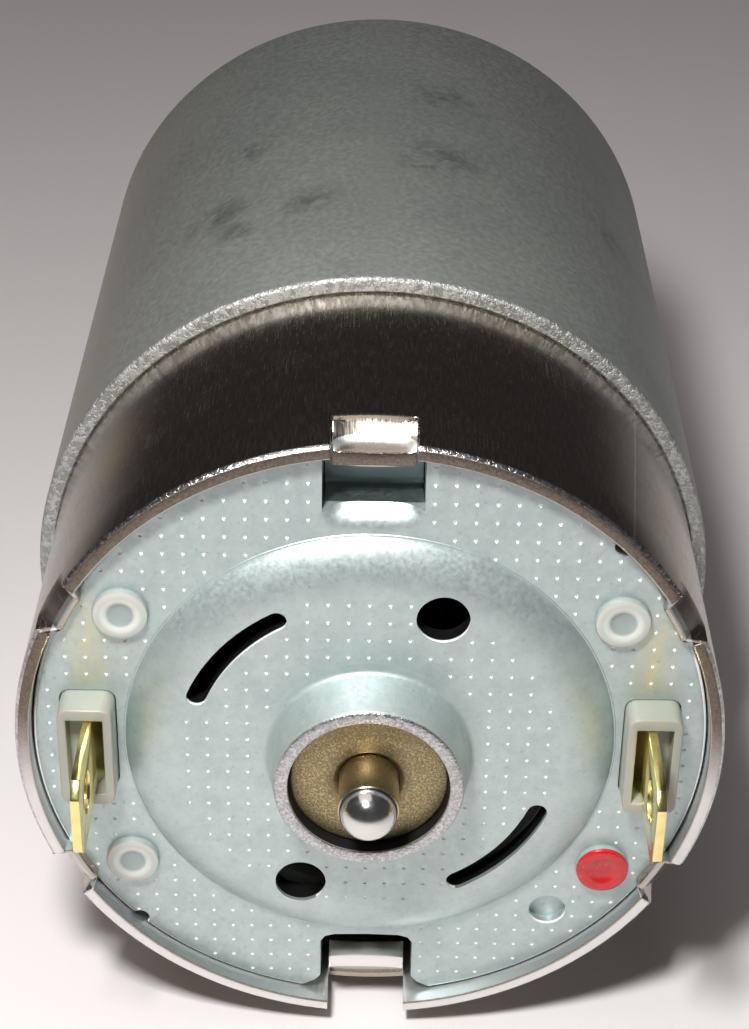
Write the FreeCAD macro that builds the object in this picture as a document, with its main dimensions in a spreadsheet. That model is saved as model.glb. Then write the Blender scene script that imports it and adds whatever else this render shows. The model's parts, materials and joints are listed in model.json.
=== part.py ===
"""Brushed electric motor in a round steel can with a flux ring, piece by piece.

The shaft lies along Y. The origin is on the shaft axis, at the front mounting face:
the output shaft points along +Y and the rear end plate with its two terminals
faces -Y. All lengths are in millimetres and all angles in degrees.
"""
import FreeCAD
import Part

import math
import os

import Sketcher
from FreeCAD import Placement, Rotation, Vector

# Named sizes: every length and angle that can be set by itself, once.
SIZES = (
    # Drawn steel can
    ("can_radius", 19.05, "outer radius of the can"),
    ("can_wall", 0.8, "sheet thickness of the can"),
    ("can_corner", 2.0, "outer radius where the wall turns into the front"),
    ("pilot_radius", 6.5, "outer radius of the front pilot boss"),
    ("pilot_length", 4.5, "how far the pilot boss stands out"),
    ("pilot_corner", 0.5, "chamfer on the nose of the pilot boss"),
    ("front_bore", 2.6, "radius of the hole round the output shaft"),
    ("screw_spread", 25.0, "distance between the two tapped mounting holes"),
    ("screw_bore", 1.25, "core radius of the tapped mounting holes"),
    ("front_vent_inset", 5.85, "inside of the can to the middle of a front vent"),
    ("front_vent_width", 3.0, "radial width of a front vent"),
    ("front_vent_sweep", 62.0, "angle that a front vent covers between its end centres"),
    # Rear rim of the can: two pressed locking tabs and four crimps
    ("lock_width", 4.3, "width of a locking tab"),
    ("lock_slit", 0.05, "slit beside a locking tab"),
    ("lock_root", 3.1, "rim to the root of a locking tab"),
    ("lock_set", 1.4, "rim to the free end of a locking tab"),
    ("lock_push", 1.25, "how far a locking tab is pushed inwards"),
    ("lock_step", 0.5, "length of the step that pushes the tab inwards"),
    ("lock_skin", 0.12, "flat of the tab below the crown of the can"),
    ("lock_lap", 0.4, "how far a tab's flat runs on into the wall"),
    ("crimp_angle", 28.1, "angle of a crimp above or below the terminal line"),
    ("crimp_sweep", 9.7, "angle that a crimp covers"),
    ("crimp_depth", 1.7, "length of wall that a crimp takes"),
    ("crimp_push", 0.9, "how far a crimped lip is pushed inwards"),
    ("crimp_lip", 0.15, "rim to the lip of a crimp"),
    ("crimp_neck", 0.1, "room between a crimp and the face of the end plate"),
    # Flux ring
    ("ring_wall", 0.95, "sheet thickness of the flux ring"),
    ("ring_rear_lap", 1.5, "how far the flux ring reaches behind the magnets"),
    ("ring_front_lap", 1.5, "how far it reaches in front of them"),
    ("ring_bevel", 0.3, "bevel on the outer edges of the flux ring"),
    ("ring_seam", 1.1, "angle of the open butt seam"),
    ("ring_seam_place", 62.0, "angle of the seam below the right terminal"),
    # Rear end plate
    ("plate_gap", 0.1, "room between end plate and can"),
    ("plate_recess", 0.9, "rear rim to the face of the end plate"),
    ("plate_sheet", 1.2, "sheet thickness of the end plate"),
    ("plate_edge", 0.2, "chamfer on the outer edge of the end plate"),
    ("flange_width", 5.0, "edge of the end plate to the foot of its raised middle"),
    ("plateau_ramp", 2.5, "width of its slope"),
    ("plateau_rise", 1.2, "height of the raised middle"),
    ("boss_foot", 5.4, "outer radius of the bearing boss at its foot"),
    ("boss_fillet", 0.4, "slanted foot of the bearing boss"),
    ("boss_radius", 5.0, "outer radius of the bearing boss at its rim"),
    ("boss_rise", 2.9, "height of the bearing boss over the raised middle"),
    ("boss_edge", 0.2, "chamfer on the outer edge of the boss rim"),
    ("vent_bore", 1.4, "radius of a round vent"),
    ("vent_bore_inset", 1.05, "top of the slope to the middle of a round vent"),
    ("vent_bore_angle", 67.3, "angle of the first round vent"),
    ("vent_slot_inset", 0.75, "top of the slope to the middle of a curved vent"),
    ("vent_slot_width", 1.1, "width of a curved vent"),
    ("vent_slot_angle", 119.8, "angle of the first end of a curved vent"),
    ("vent_slot_sweep", 38.3, "angle between its end centres"),
    ("notch_width", 5.25, "width of the notches that take the locking tabs"),
    ("notch_top_depth", 3.45, "depth of the upper notch from the edge of the plate"),
    ("notch_low_depth", 4.4, "depth of the lower notch"),
    ("notch_corner", 0.7, "rounding in the corners of the lower notch"),
    ("notch_flare_width", 7.7, "width of the mouth of a notch"),
    ("notch_flare_depth", 1.25, "edge of the plate to where a notch is narrow"),
    ("notch_mouth_depth", 0.45, "edge of the plate to where it starts to narrow"),
    ("pit_radius", 1.05, "radius of the small blind pit"),
    ("pit_depth", 0.7, "depth of the small blind pit"),
    ("pit_inset", 2.65, "edge of the plate to the middle of the pit"),
    ("pit_angle", 48.7, "angle of the pit below the terminal line"),
    ("rim_hole", 0.55, "radius of the two half-round cuts in the plate's edge"),
    ("rim_hole_angle", 44.7, "angle of the first of them"),
    # Moulded brush card with its staked posts and terminal collars
    ("card_gap", 0.3, "room between brush card and can"),
    ("card_width", 7.0, "radial width of the brush card"),
    ("card_depth", 3.0, "thickness of the brush card"),
    ("post_inset", 2.66, "edge of the end plate to the middle of a staked post"),
    ("post_angle", 32.26, "angle of a post above or below the terminal line"),
    ("post_radius", 1.0, "radius of a post"),
    ("post_gap", 0.05, "room round a post in the end plate"),
    ("head_radius", 1.475, "radius of a staked head"),
    ("head_rise", 0.5, "height of a staked head"),
    ("crater_radius", 0.78, "radius of the dent in a staked head"),
    ("crater_depth", 0.2, "depth of the dent"),
    ("mark_rim", 0.15, "bare rim of the head round the red mark"),
    ("mark_coat", 0.12, "thickness of the red mark"),
    ("collar_inset", 3.03, "edge of the end plate to the middle of a terminal collar"),
    ("collar_width", 2.95, "width of a terminal collar"),
    ("collar_height", 6.3, "height of a terminal collar"),
    ("collar_rise", 1.85, "how far a collar stands out of the end plate"),
    ("collar_corner", 0.6, "rounded corners of a collar"),
    ("collar_gap", 0.05, "room round a collar in the end plate"),
    ("slit_width", 1.8, "width of the slit in a collar"),
    ("slit_room", 0.05, "room above and below the terminal in the slit"),
    # Brass terminals
    ("tab_shift", 0.17, "middle of a collar to the middle of its tab"),
    ("tab_sheet", 0.5, "sheet thickness of a terminal"),
    ("tab_height", 4.8, "width of a terminal tab"),
    ("tab_reach", 6.6, "rear rim to the tip of a tab"),
    ("tab_corner", 0.5, "cut corners of the tip"),
    ("tab_hole", 1.15, "radius of the solder hole"),
    ("tab_hole_back", 2.8, "tip to the middle of the solder hole"),
    ("tab_jog", 0.4, "sideways step of a terminal inside its collar"),
    ("tab_jog_start", 0.3, "rear rim to the outer end of the step"),
    ("tab_jog_length", 0.8, "length of the step"),
    ("foot_inset", 3.0, "mouth of a brush box to the end of a terminal's foot"),
    # Brushes in their boxes
    ("brush_width", 3.1, "width of a carbon brush"),
    ("brush_depth", 4.0, "depth of a carbon brush along the shaft"),
    ("brush_length", 4.85, "commutator to the back of a brush"),
    ("brush_fit", 0.05, "room between a brush and its box"),
    ("brush_air", 0.05, "room between a brush and the commutator"),
    ("box_sheet", 0.4, "sheet thickness of a brush box"),
    ("box_standoff", 1.45, "commutator to the open mouth of a brush box"),
    ("box_inset", 4.15, "edge of the brush card to the closed end of a brush box"),
    ("spring_radius", 1.3, "outer radius of a brush spring"),
    ("spring_wire", 0.35, "thickness of its wire"),
    # Bearings
    ("bearing_gap", 0.02, "running clearance of the shaft in a bearing"),
    ("bearing_lead", 0.25, "chamfer of a bearing's bore"),
    ("bearing_sink", 1.2, "boss rim to the rear bearing's face"),
    ("bearing_cone", 0.3, "how much the bearing's face falls away"),
    ("bearing_groove", 0.5, "width of the ring recess round the rear bearing"),
    ("bearing_groove_sink", 0.4, "depth of that recess"),
    ("bearing_neck", 3.3, "radius of a bearing's neck"),
    ("bearing_neck_length", 1.0, "length of a bearing's neck"),
    ("front_bearing_length", 4.0, "length of the front bearing's body"),
    ("clip_sheet", 0.3, "sheet thickness of a bearing's clip"),
    ("clip_bore_gap", 0.05, "room between a clip's fingers and the neck"),
    ("clip_width", 3.4, "radial width of a bearing clip"),
    ("clip_slot", 0.7, "width of a slot between two fingers"),
    ("clip_slot_length", 2.1, "length of a slot from the clip's bore"),
    ("clip_fingers", 6, "number of fingers of a bearing clip"),
    # Magnets and their clips
    ("magnet_gap", 0.05, "glue between magnet and can"),
    ("magnet_thickness", 4.2, "radial thickness of a magnet"),
    ("magnet_start", 18.5, "rear rim to a magnet"),
    ("magnet_length", 40.0, "length of a magnet"),
    ("magnet_front_room", 4.0, "front of a magnet to the mounting face"),
    ("magnet_sweep", 134.0, "angle that a magnet covers"),
    ("spreader_sheet", 0.6, "thickness of the spring between two magnets"),
    ("spreader_leg", 2.4, "radial length of its legs"),
    ("spreader_inset", 5.0, "end of a magnet to the end of that spring"),
    # Rotor
    ("shaft_radius", 1.5875, "radius of the shaft"),
    ("shaft_tail", 6.45, "rear rim to the tail of the shaft"),
    ("shaft_dome", 1.5, "height of the dome on the tail"),
    ("shaft_reach", 16.0, "mounting face to the end of the output shaft"),
    ("shaft_edge", 0.3, "chamfer on the output end"),
    ("groove_start", 0.4, "nose of the pilot boss to the groove for a retaining ring"),
    ("groove_width", 0.7, "width of that groove"),
    ("groove_depth", 0.2, "depth of that groove"),
    ("stack_inset", 1.0, "end of a magnet to the end of the lamination stack"),
    ("air_gap", 0.5, "air gap between stack and magnets"),
    ("rotor_poles", 5, "number of teeth and of commutator bars"),
    ("fibre_sheet", 0.6, "thickness of the fibre end pieces"),
    ("coil_gap", 0.1, "insulation between coil and tooth"),
    ("coil_overhang", 2.6, "how far a coil stands out beyond the fibre"),
    ("comm_radius", 4.55, "running radius of the commutator"),
    ("comm_start", 4.6, "rear rim to the commutator bars"),
    ("comm_length", 7.2, "length of the commutator bars"),
    ("comm_bar_depth", 1.05, "thickness of a commutator bar"),
    ("comm_slit", 6.0, "angle of the slit between two bars"),
    ("riser_length", 0.9, "length of the risers"),
    ("riser_reach", 1.9, "how far a riser stands out"),
    ("riser_sweep", 22.0, "angle that a riser covers"),
    ("hub_lead", 0.5, "how far the moulded hub stands out behind the bars"),
    ("hub_tail", 1.6, "how far the hub runs on in front of them"),
    ("varistor_bore", 4.4, "inner radius of the ring of suppressor material"),
    ("varistor_radius", 7.2, "its outer radius"),
    ("varistor_depth", 1.1, "its thickness"),
    ("washer_radius", 2.9, "outer radius of the thrust washers"),
    ("washer_sheet", 0.4, "thickness of a thrust washer"),
    ("end_play", 0.15, "axial play of the rotor at each end"),
    ("spacer_radius", 2.6, "outer radius of the spacer sleeves"),
    # Overrun of a cutting shape past what it cuts
    ("cut_over", 0.5, "overrun of a cutting shape past the surface it cuts"),
)

# The boss is drawn thinner than the sheet it is pressed from.
BOSS_THINNING_SHARE = 0.6

# The drawn corner of the can turns in three flats between these angles.
CORNER_TURNS = (0, 30, 60, 90)

# A brush starts inside the commutator's circle, before its seat is cut.
BRUSH_START_SHARE = 0.8

# The section of the lamination stack and its coils, as shares of the stack's radius.
CORE_SHARE = 0.4
TOOTH_WIDTH_SHARE = 0.326
SLOT_MOUTH_SHARE = 0.133
SLOT_SHOULDER_SHARE = 0.185
SHOE_DEPTH_SHARE = 0.096
COIL_INNER_SHARE = 0.504
COIL_OUTER_SHARE = 0.837
COIL_DEPTH_SHARE = 0.14

DOC = FreeCAD.newDocument("can_motor")
SHEET = DOC.addObject("Spreadsheet::Sheet", "sizes")


class Size:
    """A size: the number it has now and the sheet expression that it follows."""

    def __init__(self, number, text):
        self.number = number
        self.text = text

    def _join(self, sign, other, number, turned=False):
        text = other.text if isinstance(other, Size) else repr(other)
        left, right = (text, self.text) if turned else (self.text, text)
        return Size(number, f"({left} {sign} {right})")

    def __add__(self, other):
        return self._join("+", other, self.number + plain(other))

    def __radd__(self, other):
        return self._join("+", other, plain(other) + self.number, True)

    def __sub__(self, other):
        return self._join("-", other, self.number - plain(other))

    def __rsub__(self, other):
        return self._join("-", other, plain(other) - self.number, True)

    def __mul__(self, other):
        return self._join("*", other, self.number * plain(other))

    def __rmul__(self, other):
        return self._join("*", other, plain(other) * self.number, True)

    def __truediv__(self, other):
        return self._join("/", other, self.number / plain(other))

    def __rtruediv__(self, other):
        return self._join("/", other, plain(other) / self.number, True)

    def __neg__(self):
        return Size(-self.number, f"(-{self.text})")


class Sizes:
    """The named sizes, written into the sheet and read as attributes."""

    def __init__(self, rows):
        for row, (name, number, note) in enumerate(rows, 1):
            SHEET.set(f"A{row}", name)
            SHEET.set(f"B{row}", str(number))
            SHEET.setAlias(f"B{row}", name)
            SHEET.set(f"C{row}", note)
        DOC.recompute()
        for name, _, _ in rows:
            setattr(self, name, Size(float(SHEET.get(name)), f"sizes.{name}"))


def plain(value):
    """The number of a size, or the number itself."""
    return value.number if isinstance(value, Size) else value


def cosine(angle):
    """Cosine of an angle in degrees, as a number or as a size."""
    number = math.cos(math.radians(plain(angle)))
    return Size(number, f"cos({angle.text} * 1 deg)") if isinstance(angle, Size) else number


def sine(angle):
    """Sine of an angle in degrees, as a number or as a size."""
    number = math.sin(math.radians(plain(angle)))
    return Size(number, f"sin({angle.text} * 1 deg)") if isinstance(angle, Size) else number


D = Sizes(SIZES)

# Places along the shaft, from the rear end to the front.
RIM = -(D.magnet_start + D.magnet_length + D.magnet_front_room)
MAGNET_REAR = RIM + D.magnet_start
MAGNET_FRONT = MAGNET_REAR + D.magnet_length
PLATE_FACE = RIM + D.plate_recess
PLATE_BACK = PLATE_FACE + D.plate_sheet
PLATEAU_FACE = PLATE_FACE - D.plateau_rise
PLATEAU_BACK = PLATEAU_FACE + D.plate_sheet
BOSS_FACE = PLATEAU_FACE - D.boss_rise
COLLAR_FACE = PLATE_FACE - D.collar_rise
HEAD_FACE = PLATE_FACE - D.head_rise
CARD_FRONT = PLATE_BACK + D.card_depth
TAB_TIP = RIM - D.tab_reach
FOOT_FRONT = CARD_FRONT + D.tab_sheet
REAR_BEARING_BACK = BOSS_FACE + D.bearing_sink
REAR_NECK = PLATEAU_BACK
REAR_BEARING_END = REAR_NECK + D.bearing_neck_length
FRONT_BEARING_NOSE = D.pilot_length - D.can_wall
FRONT_NECK = FRONT_BEARING_NOSE - D.front_bearing_length
FRONT_BEARING_END = FRONT_NECK - D.bearing_neck_length
STACK_REAR = MAGNET_REAR + D.stack_inset
STACK_FRONT = MAGNET_FRONT - D.stack_inset
FIBRE_REAR = STACK_REAR - D.fibre_sheet
FIBRE_FRONT = STACK_FRONT + D.fibre_sheet
COMM_REAR = RIM + D.comm_start
COMM_FRONT = COMM_REAR + D.comm_length
HUB_REAR = COMM_REAR - D.hub_lead
HUB_FRONT = COMM_FRONT + D.hub_tail
BRUSH_REAR = FOOT_FRONT + D.box_sheet + D.brush_fit
SHAFT_TIP = RIM - D.shaft_tail
BEARING_BORE = D.shaft_radius + D.bearing_gap

# Distances from the axis.
CAN_BORE = D.can_radius - D.can_wall
PLATE_RADIUS = CAN_BORE - D.plate_gap
SLOPE_FOOT = PLATE_RADIUS - D.flange_width
SLOPE_TOP = SLOPE_FOOT - D.plateau_ramp
REAR_SEAT = D.boss_radius - D.plate_sheet * BOSS_THINNING_SHARE
FRONT_SEAT = D.pilot_radius - D.can_wall
CARD_RADIUS = CAN_BORE - D.card_gap
CARD_BORE = CARD_RADIUS - D.card_width
POST_TRACK = PLATE_RADIUS - D.post_inset
COLLAR_MIDDLE = PLATE_RADIUS - D.collar_inset
TAB_MIDDLE = COLLAR_MIDDLE - D.tab_shift
BOX_MOUTH = D.comm_radius + D.box_standoff
BOX_END = CARD_RADIUS - D.box_inset
BRUSH_TAIL = D.comm_radius + D.brush_length
MAGNET_BORE = CAN_BORE - D.magnet_gap - D.magnet_thickness
STACK_RADIUS = MAGNET_BORE - D.air_gap
TOOTH_WIDTH = STACK_RADIUS * TOOTH_WIDTH_SHARE
SHOE_MIDDLE = STACK_RADIUS - STACK_RADIUS * SHOE_DEPTH_SHARE / 2
HALF_SLIT = D.tab_height / 2 + D.slit_room


def bind(item, **settings):
    """Tie properties of an object to sizes, or set them where they are plain."""
    for name, value in settings.items():
        setattr(item, name, plain(value))
        if isinstance(value, Size):
            item.setExpression(name, value.text)


def origin_feature(body, role):
    """The origin plane or axis of a body that has this role."""
    return next(item for item in body.Origin.OriginFeatures if item.Role == role)


def new_body(label):
    """A body whose label names the piece; a piece may be several solids."""
    body = DOC.addObject("PartDesign::Body", label)
    body.Label = label
    body.AllowCompound = True
    return body


def new_sketch(body, plane, lift=0, turn=0, at=(0, 0)):
    """A sketch on an origin plane, lifted, turned about its upright, and moved in plane."""
    sketch = body.newObject("Sketcher::SketchObject", f"{body.Name}_sketch")
    sketch.AttachmentSupport = [(origin_feature(body, plane), "")]
    sketch.MapMode = "FlatFace"
    place = Vector(plain(at[0]), plain(at[1]), plain(lift))
    sketch.AttachmentOffset = Placement(place, Rotation(Vector(0, 1, 0), plain(turn)))
    for name, value in (("Base.x", at[0]), ("Base.y", at[1]), ("Base.z", lift), ("Rotation.Angle", turn)):
        if isinstance(value, Size):
            sketch.setExpression(f"AttachmentOffset.{name}", value.text)
    return sketch


def add_rules(sketch, rules):
    """Add constraints in one go, then tie those with a value to their sizes."""
    first = sketch.ConstraintCount
    sketch.addConstraint([
        Sketcher.Constraint(kind, *where, *(() if value is None else (plain(value),)))
        for kind, where, value in rules
    ])
    for index, (_, _, value) in enumerate(rules, first):
        if isinstance(value, Size):
            sketch.setExpression(f"Constraints[{index}]", value.text)


def place_rules(curve, end, across, along):
    """Rules that hold one end of a curve at its distances from the sketch's origin."""
    return [
        ("DistanceX", (-1, 1, curve, end), across),
        ("DistanceY", (-1, 1, curve, end), along),
    ]


def counter_clockwise_arc(centre, start, end):
    """The arc round a centre that runs counter-clockwise from start to end."""
    reach = start - centre
    first = math.atan2(reach.y, reach.x)
    last = math.atan2(end.y - centre.y, end.x - centre.x)
    if last <= first:
        last += 2 * math.pi
    return Part.ArcOfCircle(Part.Circle(centre, Vector(0, 0, 1), reach.Length), first, last)


def draw_outline(sketch, corners):
    """Draw a closed outline; a corner with a third value is rounded by that radius."""
    spots = [Vector(plain(corner[0]), plain(corner[1]), 0) for corner in corners]
    count = len(spots)
    leaving, arriving, arcs = [], [], []
    for index, corner in enumerate(corners):
        spot = spots[index]
        if len(corner) == 2:
            leaving.append(spot)
            arriving.append(spot)
            arcs.append(None)
            continue
        radius = plain(corner[2])
        back = (spots[index - 1] - spot).normalize()
        ahead = (spots[(index + 1) % count] - spot).normalize()
        half = back.getAngle(ahead) / 2
        centre = spot + (back + ahead).normalize() * (radius / math.sin(half))
        arriving.append(spot + back * (radius / math.tan(half)))
        leaving.append(spot + ahead * (radius / math.tan(half)))
        left_turn = ahead.cross(back).z > 0
        ends = (arriving[-1], leaving[-1]) if left_turn else (leaving[-1], arriving[-1])
        arcs.append((counter_clockwise_arc(centre, *ends), left_turn))
    sides = [
        sketch.addGeometry(Part.LineSegment(leaving[index], arriving[(index + 1) % count]))
        for index in range(count)
    ]
    rules = []
    for index, corner in enumerate(corners):
        before, after = sides[index - 1], sides[index]
        if arcs[index] is None:
            rules.append(("Coincident", (before, 2, after, 1), None))
            rules += place_rules(after, 1, corner[0], corner[1])
            continue
        curve, left_turn = arcs[index]
        arc = sketch.addGeometry(curve)
        point = sketch.addGeometry(Part.Point(spots[index]), True)
        first, last = (1, 2) if left_turn else (2, 1)
        rules += [
            ("Tangent", (before, 2, arc, first), None),
            ("Tangent", (arc, last, after, 1), None),
            ("Radius", (arc,), corner[2]),
            ("PointOnObject", (point, 1, before), None),
            ("PointOnObject", (point, 1, after), None),
        ]
        rules += place_rules(point, 1, corner[0], corner[1])
    add_rules(sketch, rules)


def draw_box(sketch, left, right, low, high, corner=None):
    """Draw an upright rectangle between four places, sharp or rounded."""
    tail = () if corner is None else (corner,)
    spots = ((left, low), (right, low), (right, high), (left, high))
    draw_outline(sketch, [spot + tail for spot in spots])


def draw_circle(sketch, across, along, radius):
    """Draw a circle at a place with a radius."""
    centre = Vector(plain(across), plain(along), 0)
    curve = sketch.addGeometry(Part.Circle(centre, Vector(0, 0, 1), plain(radius)))
    add_rules(sketch, place_rules(curve, 3, across, along) + [("Radius", (curve,), radius)])


def turned(body, corners, sweep=None, turn=0, at=(0, 0), remove=False):
    """Turn an outline of radius and place about the upright axis of its sketch."""
    sketch = new_sketch(body, "XY_Plane", turn=turn, at=(at[0], 0), lift=at[1])
    draw_outline(sketch, corners)
    kind = "PartDesign::Groove" if remove else "PartDesign::Revolution"
    feature = body.newObject(kind, f"{body.Name}_turn")
    feature.Profile = sketch
    feature.ReferenceAxis = (sketch, ["V_Axis"])
    if sweep is None:
        feature.Angle = 360
    else:
        bind(feature, Angle=sweep)
        feature.Midplane = True
    body.Tip = feature
    return feature


def padded(body, plane, draw, length, lift=0, middle=False):
    """Pad what draw puts on a lifted sketch, or to both sides of it."""
    sketch = new_sketch(body, plane, lift=lift)
    draw(sketch)
    feature = body.newObject("PartDesign::Pad", f"{body.Name}_pad")
    feature.Profile = sketch
    if middle:
        feature.SideType = "Symmetric"
    bind(feature, Length=length)
    body.Tip = feature
    return feature


def pocketed(body, plane, draw, length=None, lift=0, against=False):
    """Cut what draw puts on a sketch, right through or to a length."""
    sketch = new_sketch(body, plane, lift=lift)
    draw(sketch)
    feature = body.newObject("PartDesign::Pocket", f"{body.Name}_pocket")
    feature.Profile = sketch
    if length is None:
        feature.Type = "ThroughAll"
        feature.SideType = "Symmetric"
    else:
        feature.Type = "Length"
        bind(feature, Length=length)
    feature.Reversed = against
    body.Tip = feature
    return feature


def patterned(body, originals, count):
    """Repeat features round the shaft axis."""
    feature = body.newObject("PartDesign::PolarPattern", f"{body.Name}_pattern")
    feature.Originals = originals
    feature.Axis = (origin_feature(body, "Y_Axis"), [""])
    feature.Angle = 360
    feature.Occurrences = int(plain(count))
    if isinstance(count, Size):
        feature.setExpression("Occurrences", count.text)
    body.Tip = feature
    return feature


def mirrored_features(body, originals, plane):
    """Mirror features in an origin plane of their body."""
    feature = body.newObject("PartDesign::Mirrored", f"{body.Name}_mirror")
    feature.Originals = originals
    feature.MirrorPlane = (origin_feature(body, plane), [""])
    body.Tip = feature
    return feature


def mirrored_piece(label, source):
    """The left-hand twin of a piece, mirrored in the upright plane of the shaft."""
    twin = DOC.addObject("Part::Mirroring", label)
    twin.Label = label
    twin.Source = source
    twin.Normal = Vector(1, 0, 0)
    return twin


def vent_slots(body, track, width, start, sweep, face, back):
    """Cut a curved slot with round ends through a face, and the same opposite."""
    half = width / 2
    middle = start + sweep / 2
    channel = turned(
        body,
        ((track - half, face), (track + half, face), (track + half, back), (track - half, back)),
        sweep=sweep, turn=-middle, remove=True,
    )

    def ends(sketch):
        for angle in (start, start + sweep):
            draw_circle(sketch, track * cosine(angle), track * sine(angle), half)

    round_ends = pocketed(body, "XZ_Plane", ends)
    patterned(body, [channel, round_ends], 2)


def make_can():
    """The drawn can: cup, pilot boss, tapped holes, vents, locking tabs and crimps."""
    body = new_body("can")
    corner = [
        (D.can_radius - D.can_corner * (1 - cosine(turn)), D.can_corner * (sine(turn) - 1))
        for turn in CORNER_TURNS
    ]
    turned(body, (
        (D.can_radius, RIM),
        *corner,
        (D.pilot_radius, 0),
        (D.pilot_radius, D.pilot_length - D.pilot_corner),
        (D.pilot_radius - D.pilot_corner, D.pilot_length),
        (D.front_bore, D.pilot_length),
        (D.front_bore, D.pilot_length - D.can_wall),
        (FRONT_SEAT, D.pilot_length - D.can_wall),
        (FRONT_SEAT, -D.can_wall),
        (CAN_BORE, -D.can_wall),
        (CAN_BORE, RIM),
    ))

    def screw_holes(sketch):
        for side in (-1, 1):
            draw_circle(sketch, side * D.screw_spread / 2, 0, D.screw_bore)

    pocketed(body, "XZ_Plane", screw_holes)
    vent_slots(
        body, CAN_BORE - D.front_vent_inset, D.front_vent_width, 90 - D.front_vent_sweep / 2,
        D.front_vent_sweep, -D.can_wall - D.cut_over, D.cut_over,
    )
    half_lock = D.lock_width / 2 + D.lock_slit
    notch = pocketed(
        body, "XZ_Plane",
        lambda sketch: draw_box(
            sketch, -half_lock, half_lock,
            CAN_BORE - D.can_wall, D.can_radius + D.cut_over,
        ),
        length=D.lock_root + D.cut_over, lift=-RIM + D.cut_over,
    )
    crown = D.can_radius - D.lock_skin
    root = RIM + D.lock_root
    outer = D.can_radius - D.lock_push
    lock = padded(
        body, "YZ_Plane",
        lambda sketch: draw_outline(sketch, (
            (root + D.lock_lap, crown),
            (root, crown),
            (root - D.lock_step, outer),
            (RIM + D.lock_set, outer),
            (RIM + D.lock_set, outer - D.can_wall),
            (root - D.lock_step / 2, outer - D.can_wall),
            (root + D.lock_lap, CAN_BORE),
        )),
        length=D.lock_width, middle=True,
    )
    mirrored_features(body, [notch, lock], "XY_Plane")
    for turn in (D.crimp_angle, 180 - D.crimp_angle, 180 + D.crimp_angle, 360 - D.crimp_angle):
        turned(
            body,
            (
                (CAN_BORE - D.cut_over, RIM - D.cut_over),
                (D.can_radius + D.cut_over, RIM - D.cut_over),
                (D.can_radius + D.cut_over, RIM + D.crimp_depth),
                (CAN_BORE - D.cut_over, RIM + D.crimp_depth),
            ),
            sweep=D.crimp_sweep, turn=turn, remove=True,
        )
        lip = D.can_radius - D.crimp_push
        turned(
            body,
            (
                (D.can_radius, RIM + D.crimp_depth),
                (lip, RIM + D.crimp_lip),
                (lip - D.can_wall, RIM + D.crimp_lip + D.crimp_neck),
                (CAN_BORE, PLATE_FACE - D.crimp_neck),
                (CAN_BORE, RIM + D.crimp_depth),
            ),
            sweep=D.crimp_sweep, turn=turn,
        )
    return body


def make_flux_ring():
    """The rolled ring that closes the magnets' field, with its open butt seam."""
    body = new_body("flux_ring")
    rear = MAGNET_REAR - D.ring_rear_lap
    front = MAGNET_FRONT + D.ring_front_lap
    outer = D.can_radius + D.ring_wall
    turned(body, (
        (D.can_radius, rear),
        (outer - D.ring_bevel, rear),
        (outer, rear + D.ring_bevel),
        (outer, front - D.ring_bevel),
        (outer - D.ring_bevel, front),
        (D.can_radius, front),
    ))
    turned(
        body,
        (
            (D.can_radius - D.cut_over, rear - D.cut_over),
            (outer + D.cut_over, rear - D.cut_over),
            (outer + D.cut_over, front + D.cut_over),
            (D.can_radius - D.cut_over, front + D.cut_over),
        ),
        sweep=D.ring_seam, turn=D.ring_seam_place, remove=True,
    )
    return body


def notch_outline(sketch, depth, up, corner=None):
    """A notch open at the edge of the plate, its mouth flared."""
    floor = PLATE_RADIUS - depth
    flare = PLATE_RADIUS - D.notch_flare_depth
    lip = PLATE_RADIUS - D.notch_mouth_depth
    half = D.notch_width / 2
    mouth = D.notch_flare_width / 2
    outside = PLATE_RADIUS + D.cut_over
    tail = () if corner is None else (corner,)
    draw_outline(sketch, (
        (-half, up * floor) + tail,
        (half, up * floor) + tail,
        (half, up * flare),
        (mouth, up * lip),
        (mouth, up * outside),
        (-mouth, up * outside),
        (-mouth, up * lip),
        (-half, up * flare),
    ))


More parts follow.
